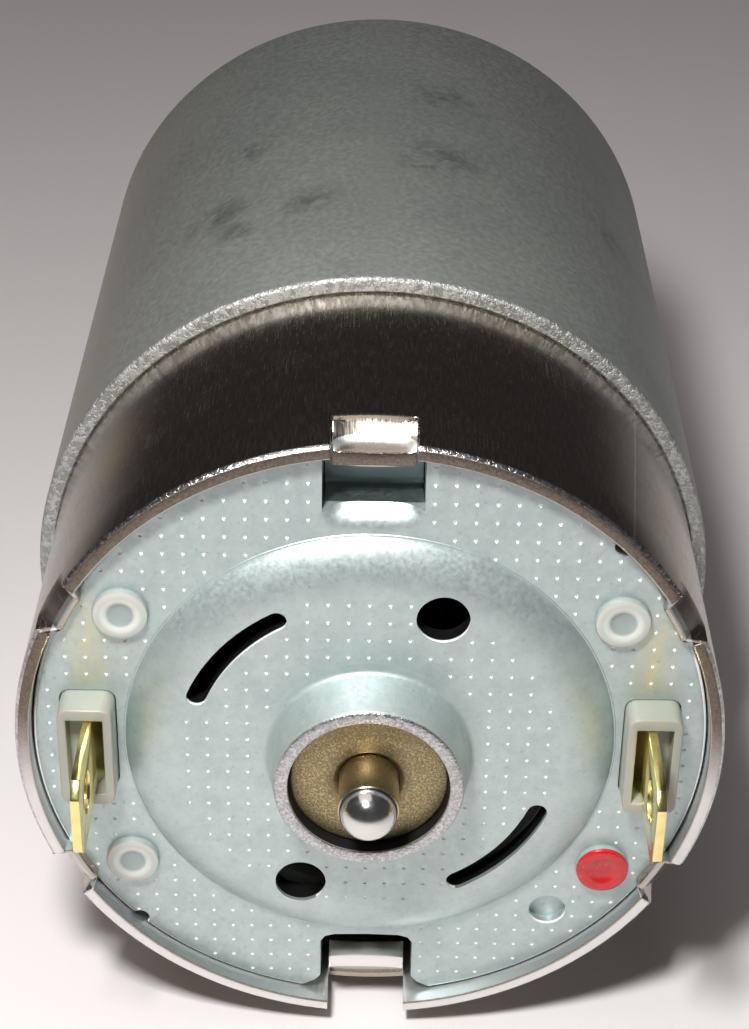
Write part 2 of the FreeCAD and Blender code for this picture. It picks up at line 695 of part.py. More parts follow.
def make_end_plate():
    """The pressed rear end plate with its raised middle, bearing boss and vents."""
    body = new_body("end_plate")
    turned(body, (
        (PLATE_RADIUS, PLATE_BACK),
        (PLATE_RADIUS, PLATE_FACE + D.plate_edge),
        (PLATE_RADIUS - D.plate_edge, PLATE_FACE),
        (SLOPE_FOOT, PLATE_FACE),
        (SLOPE_TOP, PLATEAU_FACE),
        (D.boss_foot + D.boss_fillet, PLATEAU_FACE),
        (D.boss_foot, PLATEAU_FACE - D.boss_fillet),
        (D.boss_radius, BOSS_FACE + D.boss_edge),
        (D.boss_radius - D.boss_edge, BOSS_FACE),
        (REAR_SEAT, BOSS_FACE),
        (REAR_SEAT, PLATEAU_BACK),
        (SLOPE_TOP, PLATEAU_BACK),
        (SLOPE_FOOT, PLATE_BACK),
    ))
    vent_slots(
        body, SLOPE_TOP - D.vent_slot_inset, D.vent_slot_width, D.vent_slot_angle,
        D.vent_slot_sweep, PLATEAU_FACE - D.cut_over, PLATE_BACK + D.cut_over,
    )
    vent_track = SLOPE_TOP - D.vent_bore_inset
    hole = pocketed(
        body, "XZ_Plane",
        lambda sketch: draw_circle(
            sketch, vent_track * cosine(D.vent_bore_angle),
            vent_track * sine(D.vent_bore_angle), D.vent_bore,
        ),
    )
    edge_cut = pocketed(
        body, "XZ_Plane",
        lambda sketch: draw_circle(
            sketch, PLATE_RADIUS * cosine(D.rim_hole_angle),
            PLATE_RADIUS * sine(D.rim_hole_angle), D.rim_hole,
        ),
    )
    patterned(body, [hole, edge_cut], 2)

    def post_holes(sketch):
        for across, up in post_places():
            draw_circle(sketch, across, up, D.post_radius + D.post_gap)

    pocketed(body, "XZ_Plane", post_holes)

    def windows(sketch):
        for side in (-1, 1):
            draw_collar(sketch, side, D.collar_gap)

    pocketed(body, "XZ_Plane", windows)
    pocketed(body, "XZ_Plane", lambda sketch: notch_outline(sketch, D.notch_top_depth, 1))
    pocketed(
        body, "XZ_Plane",
        lambda sketch: notch_outline(sketch, D.notch_low_depth, -1, D.notch_corner),
    )
    pit_track = PLATE_RADIUS - D.pit_inset
    pocketed(
        body, "XZ_Plane",
        lambda sketch: draw_circle(
            sketch, pit_track * cosine(D.pit_angle), -pit_track * sine(D.pit_angle),
            D.pit_radius,
        ),
        length=D.pit_depth + D.cut_over, lift=-PLATE_FACE + D.cut_over,
    )
    return body


def post_places():
    """Sideways and upward places of the four staked posts."""
    across = POST_TRACK * cosine(D.post_angle)
    height = POST_TRACK * sine(D.post_angle)
    return [(side * across, up * height) for side in (-1, 1) for up in (-1, 1)]


def draw_collar(sketch, side, room):
    """Outline of a terminal collar on one side, with room all round it."""
    half_width = D.collar_width / 2 + room
    half_height = D.collar_height / 2 + room
    middle = side * COLLAR_MIDDLE
    draw_box(
        sketch, middle - half_width, middle + half_width, -half_height, half_height,
        D.collar_corner,
    )


def make_brush_card():
    """The moulded card behind the end plate, with staked posts and terminal collars."""
    body = new_body("brush_card")
    turned(body, (
        (CARD_BORE, PLATE_BACK),
        (CARD_RADIUS, PLATE_BACK),
        (CARD_RADIUS, CARD_FRONT),
        (CARD_BORE, CARD_FRONT),
    ))
    pocketed(body, "XZ_Plane", lambda sketch: notch_outline(sketch, D.notch_top_depth, 1))
    pocketed(body, "XZ_Plane", lambda sketch: notch_outline(sketch, D.notch_low_depth, -1))

    def collars(sketch):
        for side in (-1, 1):
            draw_collar(sketch, side, 0)

    padded(
        body, "XZ_Plane", collars, length=PLATE_BACK - COLLAR_FACE, lift=-PLATE_BACK,
    )
    for across, up in post_places():
        turned(
            body,
            (
                (0, PLATE_BACK + D.cut_over),
                (D.post_radius, PLATE_BACK + D.cut_over),
                (D.post_radius, PLATE_FACE),
                (D.head_radius, PLATE_FACE),
                (D.head_radius, HEAD_FACE),
                (D.crater_radius, HEAD_FACE),
                (0, HEAD_FACE + D.crater_depth),
            ),
            at=(across, up),
        )

    def slits(sketch):
        for side in (-1, 1):
            middle = side * COLLAR_MIDDLE
            draw_box(
                sketch, middle - D.slit_width / 2, middle + D.slit_width / 2,
                -HALF_SLIT, HALF_SLIT,
            )

    pocketed(body, "XZ_Plane", slits)
    return body


def make_polarity_mark():
    """The drop of red lacquer on the lower right staked head."""
    body = new_body("polarity_mark")
    outer = D.head_radius - D.mark_rim
    turned(
        body,
        (
            (0, HEAD_FACE + D.crater_depth),
            (D.crater_radius, HEAD_FACE),
            (outer, HEAD_FACE),
            (outer, HEAD_FACE - D.mark_coat),
            (D.crater_radius, HEAD_FACE - D.mark_coat),
            (0, HEAD_FACE + D.crater_depth - D.mark_coat),
        ),
        at=post_places()[2],
    )
    return body


def make_terminal():
    """The right brass terminal: tab, sideways step and the foot under the brush box."""
    body = new_body("terminal_right")
    half = D.tab_sheet / 2
    step_out = RIM + D.tab_jog_start - D.tab_jog_length / 2
    step_in = step_out + D.tab_jog_length
    root = TAB_MIDDLE - D.tab_jog
    foot_end = BOX_MOUTH + D.foot_inset
    padded(
        body, "XY_Plane",
        lambda sketch: draw_outline(sketch, (
            (TAB_MIDDLE - half, TAB_TIP),
            (TAB_MIDDLE + half, TAB_TIP),
            (TAB_MIDDLE + half, step_out),
            (root + half, step_in),
            (root + half, FOOT_FRONT),
            (foot_end, FOOT_FRONT),
            (foot_end, CARD_FRONT),
            (root - half, CARD_FRONT),
            (root - half, step_in),
            (TAB_MIDDLE - half, step_out),
        )),
        length=D.tab_height, middle=True,
    )
    top = D.tab_height / 2

    def corners_and_hole(sketch):
        for up in (-1, 1):
            draw_outline(sketch, (
                (TAB_TIP - D.tab_corner, up * (top - D.tab_corner * 2)),
                (TAB_TIP + D.tab_corner * 2, up * (top + D.tab_corner)),
                (TAB_TIP - D.tab_corner, up * (top + D.tab_corner)),
            ))
        draw_circle(sketch, TAB_TIP + D.tab_hole_back, 0, D.tab_hole)

    pocketed(body, "YZ_Plane", corners_and_hole)
    return body


def make_brush_box():
    """The right brass box that guides a brush, closed at its outer end."""
    body = new_body("brush_box_right")
    half_room = D.brush_width / 2 + D.brush_fit
    half = half_room + D.box_sheet
    low = FOOT_FRONT
    high = BRUSH_REAR + D.brush_depth + D.brush_fit + D.box_sheet
    padded(
        body, "YZ_Plane",
        lambda sketch: draw_box(sketch, low, high, -half, half),
        length=BOX_END - BOX_MOUTH, lift=BOX_MOUTH,
    )
    pocketed(
        body, "YZ_Plane",
        lambda sketch: draw_box(
            sketch, low + D.box_sheet, high - D.box_sheet, -half_room, half_room,
        ),
        length=BOX_END - D.box_sheet, against=True,
    )
    return body


def make_brush():
    """The right carbon brush, hollowed where it rides on the commutator."""
    body = new_body("carbon_brush_right")
    half = D.brush_width / 2
    padded(
        body, "YZ_Plane",
        lambda sketch: draw_box(
            sketch, BRUSH_REAR, BRUSH_REAR + D.brush_depth, -half, half,
        ),
        length=BRUSH_TAIL - D.comm_radius * BRUSH_START_SHARE,
        lift=D.comm_radius * BRUSH_START_SHARE,
    )
    pocketed(
        body, "XZ_Plane",
        lambda sketch: draw_circle(sketch, 0, 0, D.comm_radius + D.brush_air),
    )
    return body


def make_brush_spring():
    """The sleeve that stands for the coils of the spring behind the right brush."""
    body = new_body("brush_spring_right")
    middle = BRUSH_REAR + D.brush_depth / 2

    def coils(sketch):
        draw_circle(sketch, middle, 0, D.spring_radius)
        draw_circle(sketch, middle, 0, D.spring_radius - D.spring_wire)

    padded(
        body, "YZ_Plane", coils, length=BOX_END - D.box_sheet - BRUSH_TAIL, lift=BRUSH_TAIL,
    )
    return body


def make_rear_bearing():
    """The sintered rear bearing with its coned face, ring recess and neck."""
    body = new_body("rear_bearing")
    brow = REAR_SEAT - D.bearing_groove
    shoulder = REAR_BEARING_BACK + D.bearing_cone
    turned(body, (
        (BEARING_BORE, REAR_BEARING_BACK + D.bearing_lead),
        (BEARING_BORE + D.bearing_lead, REAR_BEARING_BACK),
        (brow, shoulder),
        (brow, shoulder + D.bearing_groove_sink),
        (REAR_SEAT, shoulder + D.bearing_groove_sink),
        (REAR_SEAT, REAR_NECK),
        (D.bearing_neck, REAR_NECK),
        (D.bearing_neck, REAR_BEARING_END),
        (BEARING_BORE, REAR_BEARING_END),
    ))
    return body


def make_front_bearing():
    """The sintered front bearing, seated in the pilot boss."""
    body = new_body("front_bearing")
    turned(body, (
        (BEARING_BORE + D.bearing_lead, FRONT_BEARING_NOSE),
        (FRONT_SEAT, FRONT_BEARING_NOSE),
        (FRONT_SEAT, FRONT_NECK),
        (D.bearing_neck, FRONT_NECK),
        (D.bearing_neck, FRONT_BEARING_END),
        (BEARING_BORE, FRONT_BEARING_END),
        (BEARING_BORE, FRONT_BEARING_NOSE - D.bearing_lead),
    ))
    return body


def make_bearing_clip(label, seat_face, towards):
    """A slotted spring ring that holds a bearing in its seat."""
    body = new_body(label)
    bore = D.bearing_neck + D.clip_bore_gap
    radius = bore + D.clip_width
    inner_face = seat_face + towards * D.clip_sheet
    turned(body, (
        (bore, seat_face),
        (radius, seat_face),
        (radius, inner_face),
        (bore, inner_face),
    ))
    half = D.clip_slot / 2
    slot_end = bore + D.clip_slot_length
    slot = pocketed(
        body, "XZ_Plane",
        lambda sketch: draw_box(sketch, bore - D.cut_over, slot_end, -half, half),
    )
    patterned(body, [slot], D.clip_fingers)
    return body


def make_magnet():
    """The right arc magnet, which lies against the can."""
    body = new_body("magnet_right")
    outer = CAN_BORE - D.magnet_gap
    turned(
        body,
        (
            (MAGNET_BORE, MAGNET_REAR),
            (outer, MAGNET_REAR),
            (outer, MAGNET_FRONT),
            (MAGNET_BORE, MAGNET_FRONT),
        ),
        sweep=D.magnet_sweep,
    )
    return body


def make_spreader(label, turn):
    """A bent spring that holds two magnets apart, above or below the rotor."""
    body = new_body(label)
    rear = MAGNET_REAR + D.spreader_inset
    front = MAGNET_FRONT - D.spreader_inset
    inner = CAN_BORE - D.spreader_sheet
    gap = 180 - D.magnet_sweep
    turned(
        body, ((inner, rear), (CAN_BORE, rear), (CAN_BORE, front), (inner, front)),
        sweep=gap, turn=turn,
    )
    leg_sweep = D.spreader_sheet / CAN_BORE * (180 / math.pi)
    for side in (-1, 1):
        turned(
            body,
            (
                (CAN_BORE - D.spreader_leg, rear),
                (CAN_BORE - D.spreader_sheet / 2, rear),
                (CAN_BORE - D.spreader_sheet / 2, front),
                (CAN_BORE - D.spreader_leg, front),
            ),
            sweep=leg_sweep, turn=turn + side * (gap - leg_sweep) / 2,
        )
    return body


def make_shaft():
    """The ground steel shaft with a domed tail and a chamfered output end."""
    body = new_body("shaft")
    sketch = new_sketch(body, "XY_Plane")
    dome = D.shaft_dome
    groove = D.pilot_length + D.groove_start
    ball = (D.shaft_radius * D.shaft_radius + dome * dome) / (dome * 2)
    corners = (
        (D.shaft_radius, SHAFT_TIP + dome),
        (D.shaft_radius, groove),
        (D.shaft_radius - D.groove_depth, groove),
        (D.shaft_radius - D.groove_depth, groove + D.groove_width),
        (D.shaft_radius, groove + D.groove_width),
        (D.shaft_radius, D.shaft_reach - D.shaft_edge),
        (D.shaft_radius - D.shaft_edge, D.shaft_reach),
        (0, D.shaft_reach),
        (0, SHAFT_TIP),
    )
    spots = [Vector(plain(across), plain(along), 0) for across, along in corners]
    lines = [sketch.addGeometry(Part.LineSegment(a, b)) for a, b in zip(spots, spots[1:])]
    centre = spots[-1] + Vector(0, ball.number, 0)
    arc = sketch.addGeometry(counter_clockwise_arc(centre, spots[-1], spots[0]))
    rules = [
        ("Coincident", (before, 2, after, 1), None)
        for before, after in zip(lines + [arc], lines[1:] + [arc, lines[0]])
    ]
    rules[-2] = ("Coincident", (lines[-1], 2, arc, 1), None)
    for line, (across, along) in zip(lines, corners):
        rules += place_rules(line, 1, across, along)
    rules += place_rules(lines[-1], 2, 0, SHAFT_TIP)
    rules.append(("PointOnObject", (arc, 3, -2), None))
    add_rules(sketch, rules)
    feature = body.newObject("PartDesign::Revolution", "shaft_turn")
    feature.Profile = sketch
    feature.ReferenceAxis = (sketch, ["V_Axis"])
    feature.Angle = 360
    body.Tip = feature
    return body


def slot_cut(body):
    """Cut the winding slots between the teeth."""
    half_pitch = 180 / D.rotor_poles
    half_mouth = STACK_RADIUS * SLOT_MOUTH_SHARE / 2
    core = STACK_RADIUS * CORE_SHARE
    widest = STACK_RADIUS - STACK_RADIUS * SLOT_SHOULDER_SHARE

    def half_width(place):
        """Half the width between two teeth, at a place on the slot's middle line."""
        return (place * sine(half_pitch) - TOOTH_WIDTH / 2) / cosine(half_pitch)

    def slot(sketch):
        half = [
            (core, half_width(core)),
            (widest, half_width(widest)),
            (SHOE_MIDDLE, half_mouth),
            (STACK_RADIUS + D.cut_over, half_mouth),
        ]
        other = [(place, -across) for place, across in reversed(half)]
        draw_outline(sketch, [(-place, across) for place, across in half + other])

    cut = pocketed(body, "XZ_Plane", slot)
    patterned(body, [cut], D.rotor_poles)


def make_stack():
    """The stack of slotted laminations on the shaft."""
    body = new_body("lamination_stack")
    turned(body, (
        (D.shaft_radius, STACK_REAR),
        (STACK_RADIUS, STACK_REAR),
        (STACK_RADIUS, STACK_FRONT),
        (D.shaft_radius, STACK_FRONT),
    ))
    slot_cut(body)
    return body


def make_fibre(label, rear, front):
    """A star of fibre that keeps the coils off one end of the stack."""
    body = new_body(label)
    turned(body, (
        (D.shaft_radius, rear),
        (SHOE_MIDDLE, rear),
        (SHOE_MIDDLE, front),
        (D.shaft_radius, front),
    ))
    slot_cut(body)
    return body


def make_windings():
    """Five coils of enamelled wire, one round each tooth."""
    body = new_body("windings")
    half_inner = TOOTH_WIDTH / 2 + D.coil_gap
    half_outer = half_inner + STACK_RADIUS * COIL_DEPTH_SHARE
    inner = STACK_RADIUS * COIL_INNER_SHARE
    outer = STACK_RADIUS * COIL_OUTER_SHARE
    ring = padded(
        body, "XY_Plane",
        lambda sketch: draw_box(
            sketch, inner, outer, FIBRE_REAR - D.coil_overhang, FIBRE_FRONT + D.coil_overhang,
            D.coil_overhang / 2,
        ),
        length=half_outer * 2, middle=True,
    )
    eye = pocketed(
        body, "YZ_Plane",
        lambda sketch: draw_box(sketch, FIBRE_REAR, FIBRE_FRONT, -half_inner, half_inner),
        length=outer + D.cut_over, against=True,
    )
    patterned(body, [ring, eye], D.rotor_poles)
    return body


def make_commutator_hub():
    """The moulded hub that carries the commutator bars."""
    body = new_body("commutator_hub")
    seat = D.comm_radius - D.comm_bar_depth
    turned(body, (
        (D.shaft_radius, HUB_REAR),
        (seat, HUB_REAR),
        (seat, HUB_FRONT),
        (D.shaft_radius, HUB_FRONT),
    ))
    return body


def make_commutator_bars():
    """The copper bars with their risers, one for each tooth."""
    body = new_body("commutator_bars")
    seat = D.comm_radius - D.comm_bar_depth
    bar = turned(
        body,
        (
            (seat, COMM_REAR),
            (D.comm_radius, COMM_REAR),
            (D.comm_radius, COMM_FRONT),
            (seat, COMM_FRONT),
        ),
        sweep=360 / D.rotor_poles - D.comm_slit,
    )
    riser = turned(
        body,
        (
            (D.comm_radius - D.comm_bar_depth / 2, COMM_FRONT - D.riser_length),
            (D.comm_radius + D.riser_reach, COMM_FRONT - D.riser_length),
            (D.comm_radius + D.riser_reach, COMM_FRONT),
            (D.comm_radius - D.comm_bar_depth / 2, COMM_FRONT),
        ),
        sweep=D.riser_sweep,
    )
    patterned(body, [bar, riser], D.rotor_poles)
    return body


def make_ring(label, bore, radius, rear, front):
    """A plain turned ring between two places along the shaft."""
    body = new_body(label)
    turned(body, ((bore, rear), (radius, rear), (radius, front), (bore, front)))
    return body


def make_pieces():
    """Every piece of the motor, in the order in which it is put together."""
    rear_washer = REAR_BEARING_END + D.end_play
    front_washer = FRONT_BEARING_END - D.end_play
    terminal = make_terminal()
    brush_box = make_brush_box()
    brush = make_brush()
    spring = make_brush_spring()
    magnet = make_magnet()
    return [
        make_can(),
        make_flux_ring(),
        make_end_plate(),
        make_brush_card(),
        make_polarity_mark(),
        terminal,
        mirrored_piece("terminal_left", terminal),
        brush_box,
        mirrored_piece("brush_box_left", brush_box),
        brush,
        mirrored_piece("carbon_brush_left", brush),
        spring,
        mirrored_piece("brush_spring_left", spring),
        make_rear_bearing(),
        make_bearing_clip("rear_bearing_clip", PLATEAU_BACK, 1),
        make_front_bearing(),
        make_bearing_clip("front_bearing_clip", -D.can_wall, -1),
        magnet,
        mirrored_piece("magnet_left", magnet),
        make_spreader("magnet_spreader_top", 270),
        make_spreader("magnet_spreader_bottom", 90),
        make_shaft(),
        make_stack(),
        make_fibre("rear_fibre", FIBRE_REAR, STACK_REAR),
        make_fibre("front_fibre", STACK_FRONT, FIBRE_FRONT),
        make_windings(),
        make_commutator_hub(),
        make_commutator_bars(),
        make_ring(
            "varistor_ring", D.varistor_bore, D.varistor_radius,
            COMM_FRONT, COMM_FRONT + D.varistor_depth,
        ),
        make_ring(
            "rear_thrust_washer", D.shaft_radius, D.washer_radius,
            rear_washer, rear_washer + D.washer_sheet,
        ),
        make_ring(
            "rear_spacer", D.shaft_radius, D.spacer_radius,
            rear_washer + D.washer_sheet, HUB_REAR,
        ),
        make_ring(
            "front_thrust_washer", D.shaft_radius, D.washer_radius,
            front_washer - D.washer_sheet, front_washer,
        ),
        make_ring(
            "front_spacer", D.shaft_radius, D.spacer_radius,
            FIBRE_FRONT, front_washer - D.washer_sheet,
        ),
    ]


def check(pieces):
    """Stop if any object failed or any piece is empty or broken."""
    for item in DOC.Objects:
        if {"Invalid", "Error"} & set(item.State):
            raise SystemExit(f"{item.Label} did not build: {item.State}")
    for piece in pieces:
        if piece.Shape.isNull() or not piece.Shape.isValid() or piece.Shape.Volume <= 0:
            raise SystemExit(f"{piece.Label} is not a sound solid")


def main():
    """Build every piece, check it and write its file."""
    pieces = make_pieces()
    DOC.recompute()
    check(pieces)
    os.makedirs("parts", exist_ok=True)
    for piece in pieces:
        piece.Shape.exportStep(os.path.join("parts", f"{piece.Label}.step"))
        box = piece.Shape.optimalBoundingBox(False)
        print(
            f"{piece.Label}: {len(piece.Shape.Solids)} solid(s), {piece.Shape.Volume:.1f} mm3, "
            f"x {box.XMin:.2f}..{box.XMax:.2f} y {box.YMin:.2f}..{box.YMax:.2f} "
            f"z {box.ZMin:.2f}..{box.ZMax:.2f}"
        )


main()
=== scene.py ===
"""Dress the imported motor: drawn can, flux ring, pressed rear end, brass tabs and shaft.

Every size in this file is in millimetres until it reaches Blender, which is given
metres. The shaft lies along Y, the rear end faces -Y and Z is up.
"""

import json
import logging
import math
from collections.abc import Callable, Sequence
from dataclasses import dataclass
from enum import Enum

import bmesh
import bpy
from mathutils import Matrix, Vector

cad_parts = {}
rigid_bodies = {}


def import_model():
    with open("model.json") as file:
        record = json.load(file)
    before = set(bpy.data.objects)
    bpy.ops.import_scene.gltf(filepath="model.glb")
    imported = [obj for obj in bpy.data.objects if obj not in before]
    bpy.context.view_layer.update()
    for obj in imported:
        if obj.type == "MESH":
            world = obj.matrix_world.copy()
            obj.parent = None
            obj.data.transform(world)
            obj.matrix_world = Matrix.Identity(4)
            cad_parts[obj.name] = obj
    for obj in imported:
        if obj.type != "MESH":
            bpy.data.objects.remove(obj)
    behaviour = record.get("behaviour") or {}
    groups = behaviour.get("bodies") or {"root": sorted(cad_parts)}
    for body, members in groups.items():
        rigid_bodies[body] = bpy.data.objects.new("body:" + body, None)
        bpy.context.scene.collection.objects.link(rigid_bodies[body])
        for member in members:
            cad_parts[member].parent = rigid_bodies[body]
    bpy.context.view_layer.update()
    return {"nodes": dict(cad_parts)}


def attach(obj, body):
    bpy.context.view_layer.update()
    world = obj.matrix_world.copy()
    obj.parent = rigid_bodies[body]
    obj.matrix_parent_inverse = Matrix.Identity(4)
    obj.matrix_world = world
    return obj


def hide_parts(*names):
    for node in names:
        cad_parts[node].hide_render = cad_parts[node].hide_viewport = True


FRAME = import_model()
LOG = logging.getLogger("motor")

Spot = tuple[float, float]
Colour = tuple[float, float, float]
MM = 0.001
TINY = 0.000002
RIM = -62.5
CAN_RADIUS = 19.05
CAN_BORE = 18.25


class Body(Enum):
    """The moving bodies of the motor."""

    STATOR = "stator"
    ROTOR = "rotor"


class Pick(Enum):
    """What an edit-mode selection is made of."""

    CORNERS = "VERT"
    EDGES = "EDGE"
    FACES = "FACE"


def polar(radius: float, degrees: float) -> Spot:
    """A place at a radius and an angle."""
    return radius * math.cos(math.radians(degrees)), radius * math.sin(math.radians(degrees))


def oblong(left: float, right: float, low: float, high: float) -> tuple[Spot, Spot, Spot, Spot]:
    """The corners of an oblong between two places across and two places up."""
    return (left, low), (right, low), (right, high), (left, high)


class Bench:
    """The modelling steps that the pieces share, each made of Blender operators."""

    @staticmethod
    def clear() -> None:
        """Leave edit mode and deselect everything."""
        if bpy.context.mode != "OBJECT":
            bpy.ops.object.mode_set(mode="OBJECT")
        bpy.ops.object.select_all(action="DESELECT")

    @staticmethod
    def hold(piece: bpy.types.Object) -> None:
        """Make a piece the only selected one and the active one.

        Args:
            piece: The piece to work on.
        """
        Bench.clear()
        piece.select_set(True)
        bpy.context.view_layer.objects.active = piece

    @staticmethod
    def pick(piece: bpy.types.Object, kind: Pick, test: Callable[[Vector], bool]) -> int:
        """Select the parts of a piece in edit mode whose corners all pass a test.

        Args:
            piece: The piece, which goes into edit mode.
            kind: Corners, edges or faces.
            test: Says of a corner's place, in millimetres, whether it belongs.

        Returns:
            How many parts are selected.
        """
        if bpy.context.mode != "EDIT_MESH":
            Bench.hold(piece)
            bpy.ops.object.mode_set(mode="EDIT")
        bpy.ops.mesh.select_mode(type=kind.value)
        bpy.ops.mesh.select_all(action="DESELECT")
        mesh = bmesh.from_edit_mesh(piece.data)
        good = {corner: test(corner.co / MM) for corner in mesh.verts}
        chosen = 0
        for part in {Pick.CORNERS: mesh.verts, Pick.EDGES: mesh.edges, Pick.FACES: mesh.faces}[kind]:
            corners = [part] if kind is Pick.CORNERS else part.verts
            if all(good[corner] for corner in corners):
                part.select_set(True)
                chosen += 1
        bmesh.update_edit_mesh(piece.data)
        return chosen

    @staticmethod
    def draw(spots: Sequence[Vector], closed: bool = True) -> bpy.types.Object:
        """Draw a wire outline by extruding a corner from place to place.

        Args:
            spots: The places, in millimetres.
            closed: Whether the last place joins the first.

        Returns:
            The wire, still in edit mode.
        """
        Bench.clear()
        bpy.ops.mesh.primitive_plane_add(size=MM)
        piece = bpy.context.object
        bpy.ops.object.mode_set(mode="EDIT")
        bpy.ops.mesh.select_mode(type="VERT")
        bpy.ops.mesh.select_all(action="SELECT")
        bpy.ops.mesh.merge(type="CENTER")
        bpy.ops.transform.translate(value=spots[0] * MM)
        path = [*spots, spots[0]] if closed else spots
        for here, there in zip(path, path[1:]):
            bpy.ops.mesh.extrude_region_move(TRANSFORM_OT_translate={"value": (there - here) * MM})
        bpy.ops.mesh.select_all(action="SELECT")
        bpy.ops.mesh.remove_doubles(threshold=TINY)
        return piece

    @staticmethod
    def tidy_mesh() -> None:
        """Merge doubles, point all faces outwards and leave edit mode."""
        bpy.ops.mesh.select_all(action="SELECT")
        bpy.ops.mesh.remove_doubles(threshold=TINY)
        bpy.ops.mesh.normals_make_consistent(inside=False)
        bpy.ops.object.mode_set(mode="OBJECT")

    @staticmethod
    def turned(outline: Sequence[Spot], steps: int, at: Spot = (0, 0)) -> bpy.types.Object:
        """Spin an outline of radius and place about an axis along the shaft.

        Args:
            outline: The corners as (radius, place along the shaft).
            steps: How many steps go round.
            at: Where the axis lies, across and up.

        Returns:
            The turned piece.
        """
        open_ends = outline[0][0] == 0 and outline[-1][0] == 0
        spots = [Vector((at[0] + radius, along, at[1])) for radius, along in outline]
        piece = Bench.draw(spots, closed=not open_ends)
        bpy.ops.mesh.spin(
            steps=steps, angle=math.tau, center=(at[0] * MM, 0, at[1] * MM), axis=(0, 1, 0),
        )
        Bench.tidy_mesh()
        return piece

    @staticmethod
    def slab(outline: Sequence[Spot], low: float, high: float, turn: float = 0) -> bpy.types.Object:
        """Draw an outline of across and up, and extrude it along the shaft.

        Args:
            outline: The corners as (across, up).
            low: Where the slab starts along the shaft.
            high: Where it ends.
            turn: Angle about the shaft that the outline is turned by, in degrees.

        Returns:
            The slab.
        """
        cosine, sine = math.cos(math.radians(turn)), math.sin(math.radians(turn))
        spots = [Vector((x * cosine - z * sine, low, x * sine + z * cosine)) for x, z in outline]
        piece = Bench.draw(spots)
        bpy.ops.mesh.edge_face_add()
        bpy.ops.mesh.extrude_region_move(TRANSFORM_OT_translate={"value": (0, (high - low) * MM, 0)})
        Bench.tidy_mesh()
        return piece

    @staticmethod
    def sector(middle: float, sweep: float, radii: Spot, low: float, high: float) -> bpy.types.Object:
        """A block that spans an angle about the shaft.

        Args:
            middle: The angle of its middle, in degrees.
            sweep: The angle that it spans.
            radii: Its inner and outer radius.
            low: Where it starts along the shaft.
            high: Where it ends.

        Returns:
            The block.
        """
        angles = [middle + sweep * share for share in (-0.5, -0.25, 0, 0.25, 0.5)]
        arc = [polar(radii[1], angle) for angle in angles]
        return Bench.slab(arc + [polar(radii[0], angle) for angle in reversed(angles)], low, high)

    @staticmethod
    def plank(outline: Sequence[Spot], stations: Sequence[float]) -> bpy.types.Object:
        """Draw an outline of along and up, and extrude it across in steps.

        Args:
            outline: The corners as (along, up).
            stations: The places across, from the first end to the last.

        Returns:
            The plank.
        """
        piece = Bench.draw([Vector((stations[0], y, z)) for y, z in outline])
        bpy.ops.mesh.edge_face_add()
        for here, there in zip(stations, stations[1:]):
            bpy.ops.mesh.extrude_region_move(TRANSFORM_OT_translate={"value": ((there - here) * MM, 0, 0)})
        Bench.tidy_mesh()
        return piece

    @staticmethod
    def nudge(piece: bpy.types.Object, test: Callable[[Vector], bool], by: Vector) -> None:
        """Move the corners of a piece that pass a test; the piece stays in edit mode.

        Args:
            piece: The piece.
            test: Says of a corner's place, in millimetres, whether it moves.
            by: How far it moves, in millimetres.
        """
        if by.length and Bench.pick(piece, Pick.CORNERS, test):
            bpy.ops.transform.translate(value=by * MM)

    @staticmethod
    def peg(radius: float, low: float, high: float, at: Spot, sides: int = 48) -> bpy.types.Object:
        """A round peg along the shaft, for cutting a hole.

        Args:
            radius: Its radius.
            low: Where it starts along the shaft.
            high: Where it ends.
            at: Where its axis lies, across and up.
            sides: How many sides it has.

        Returns:
            The peg.
        """
        Bench.clear()
        bpy.ops.mesh.primitive_cylinder_add(
            vertices=sides, radius=radius * MM, depth=(high - low) * MM,
            location=(at[0] * MM, (low + high) / 2 * MM, at[1] * MM), rotation=(math.pi / 2, 0, 0),
        )
        piece = bpy.context.object
        bpy.ops.object.transform_apply(location=True, rotation=True, scale=True)
        return piece

    @staticmethod
    def join(pieces: Sequence[bpy.types.Object]) -> bpy.types.Object:
        """Join several pieces into the first.

        Args:
            pieces: The pieces.

        Returns:
            The joined piece.
        """
        Bench.clear()
        for piece in pieces:
            piece.select_set(True)
        bpy.context.view_layer.objects.active = pieces[0]
        bpy.ops.object.join()
        return pieces[0]

    @staticmethod
    def copy(piece: bpy.types.Object) -> bpy.types.Object:
        """A copy of a piece with a mesh of its own."""
        Bench.hold(piece)
        bpy.ops.object.duplicate()
        return bpy.context.object

    @staticmethod
    def swing(piece: bpy.types.Object, turn: float) -> bpy.types.Object:
        """Turn a piece about the shaft and apply the turn.

        Args:
            piece: The piece.
            turn: The angle about +Y, in radians.

        Returns:
            The piece.
        """
        Bench.hold(piece)
        piece.rotation_euler = (0, turn, 0)
        bpy.ops.object.transform_apply(location=True, rotation=True, scale=True)
        return piece

    @staticmethod
    def combine(piece: bpy.types.Object, tool: bpy.types.Object, operation: str) -> None:
        """Cut a tool out of a piece or weld it on, and throw the tool away.

        Args:
            piece: The piece that is changed.
            tool: The tool.
            operation: DIFFERENCE or UNION.
        """
        Bench.hold(piece)
        change = piece.modifiers.new("change", "BOOLEAN")
        change.operation = operation
        change.solver = "EXACT"
        change.object = tool
        bpy.ops.object.modifier_apply(modifier=change.name)
        bpy.data.objects.remove(tool)

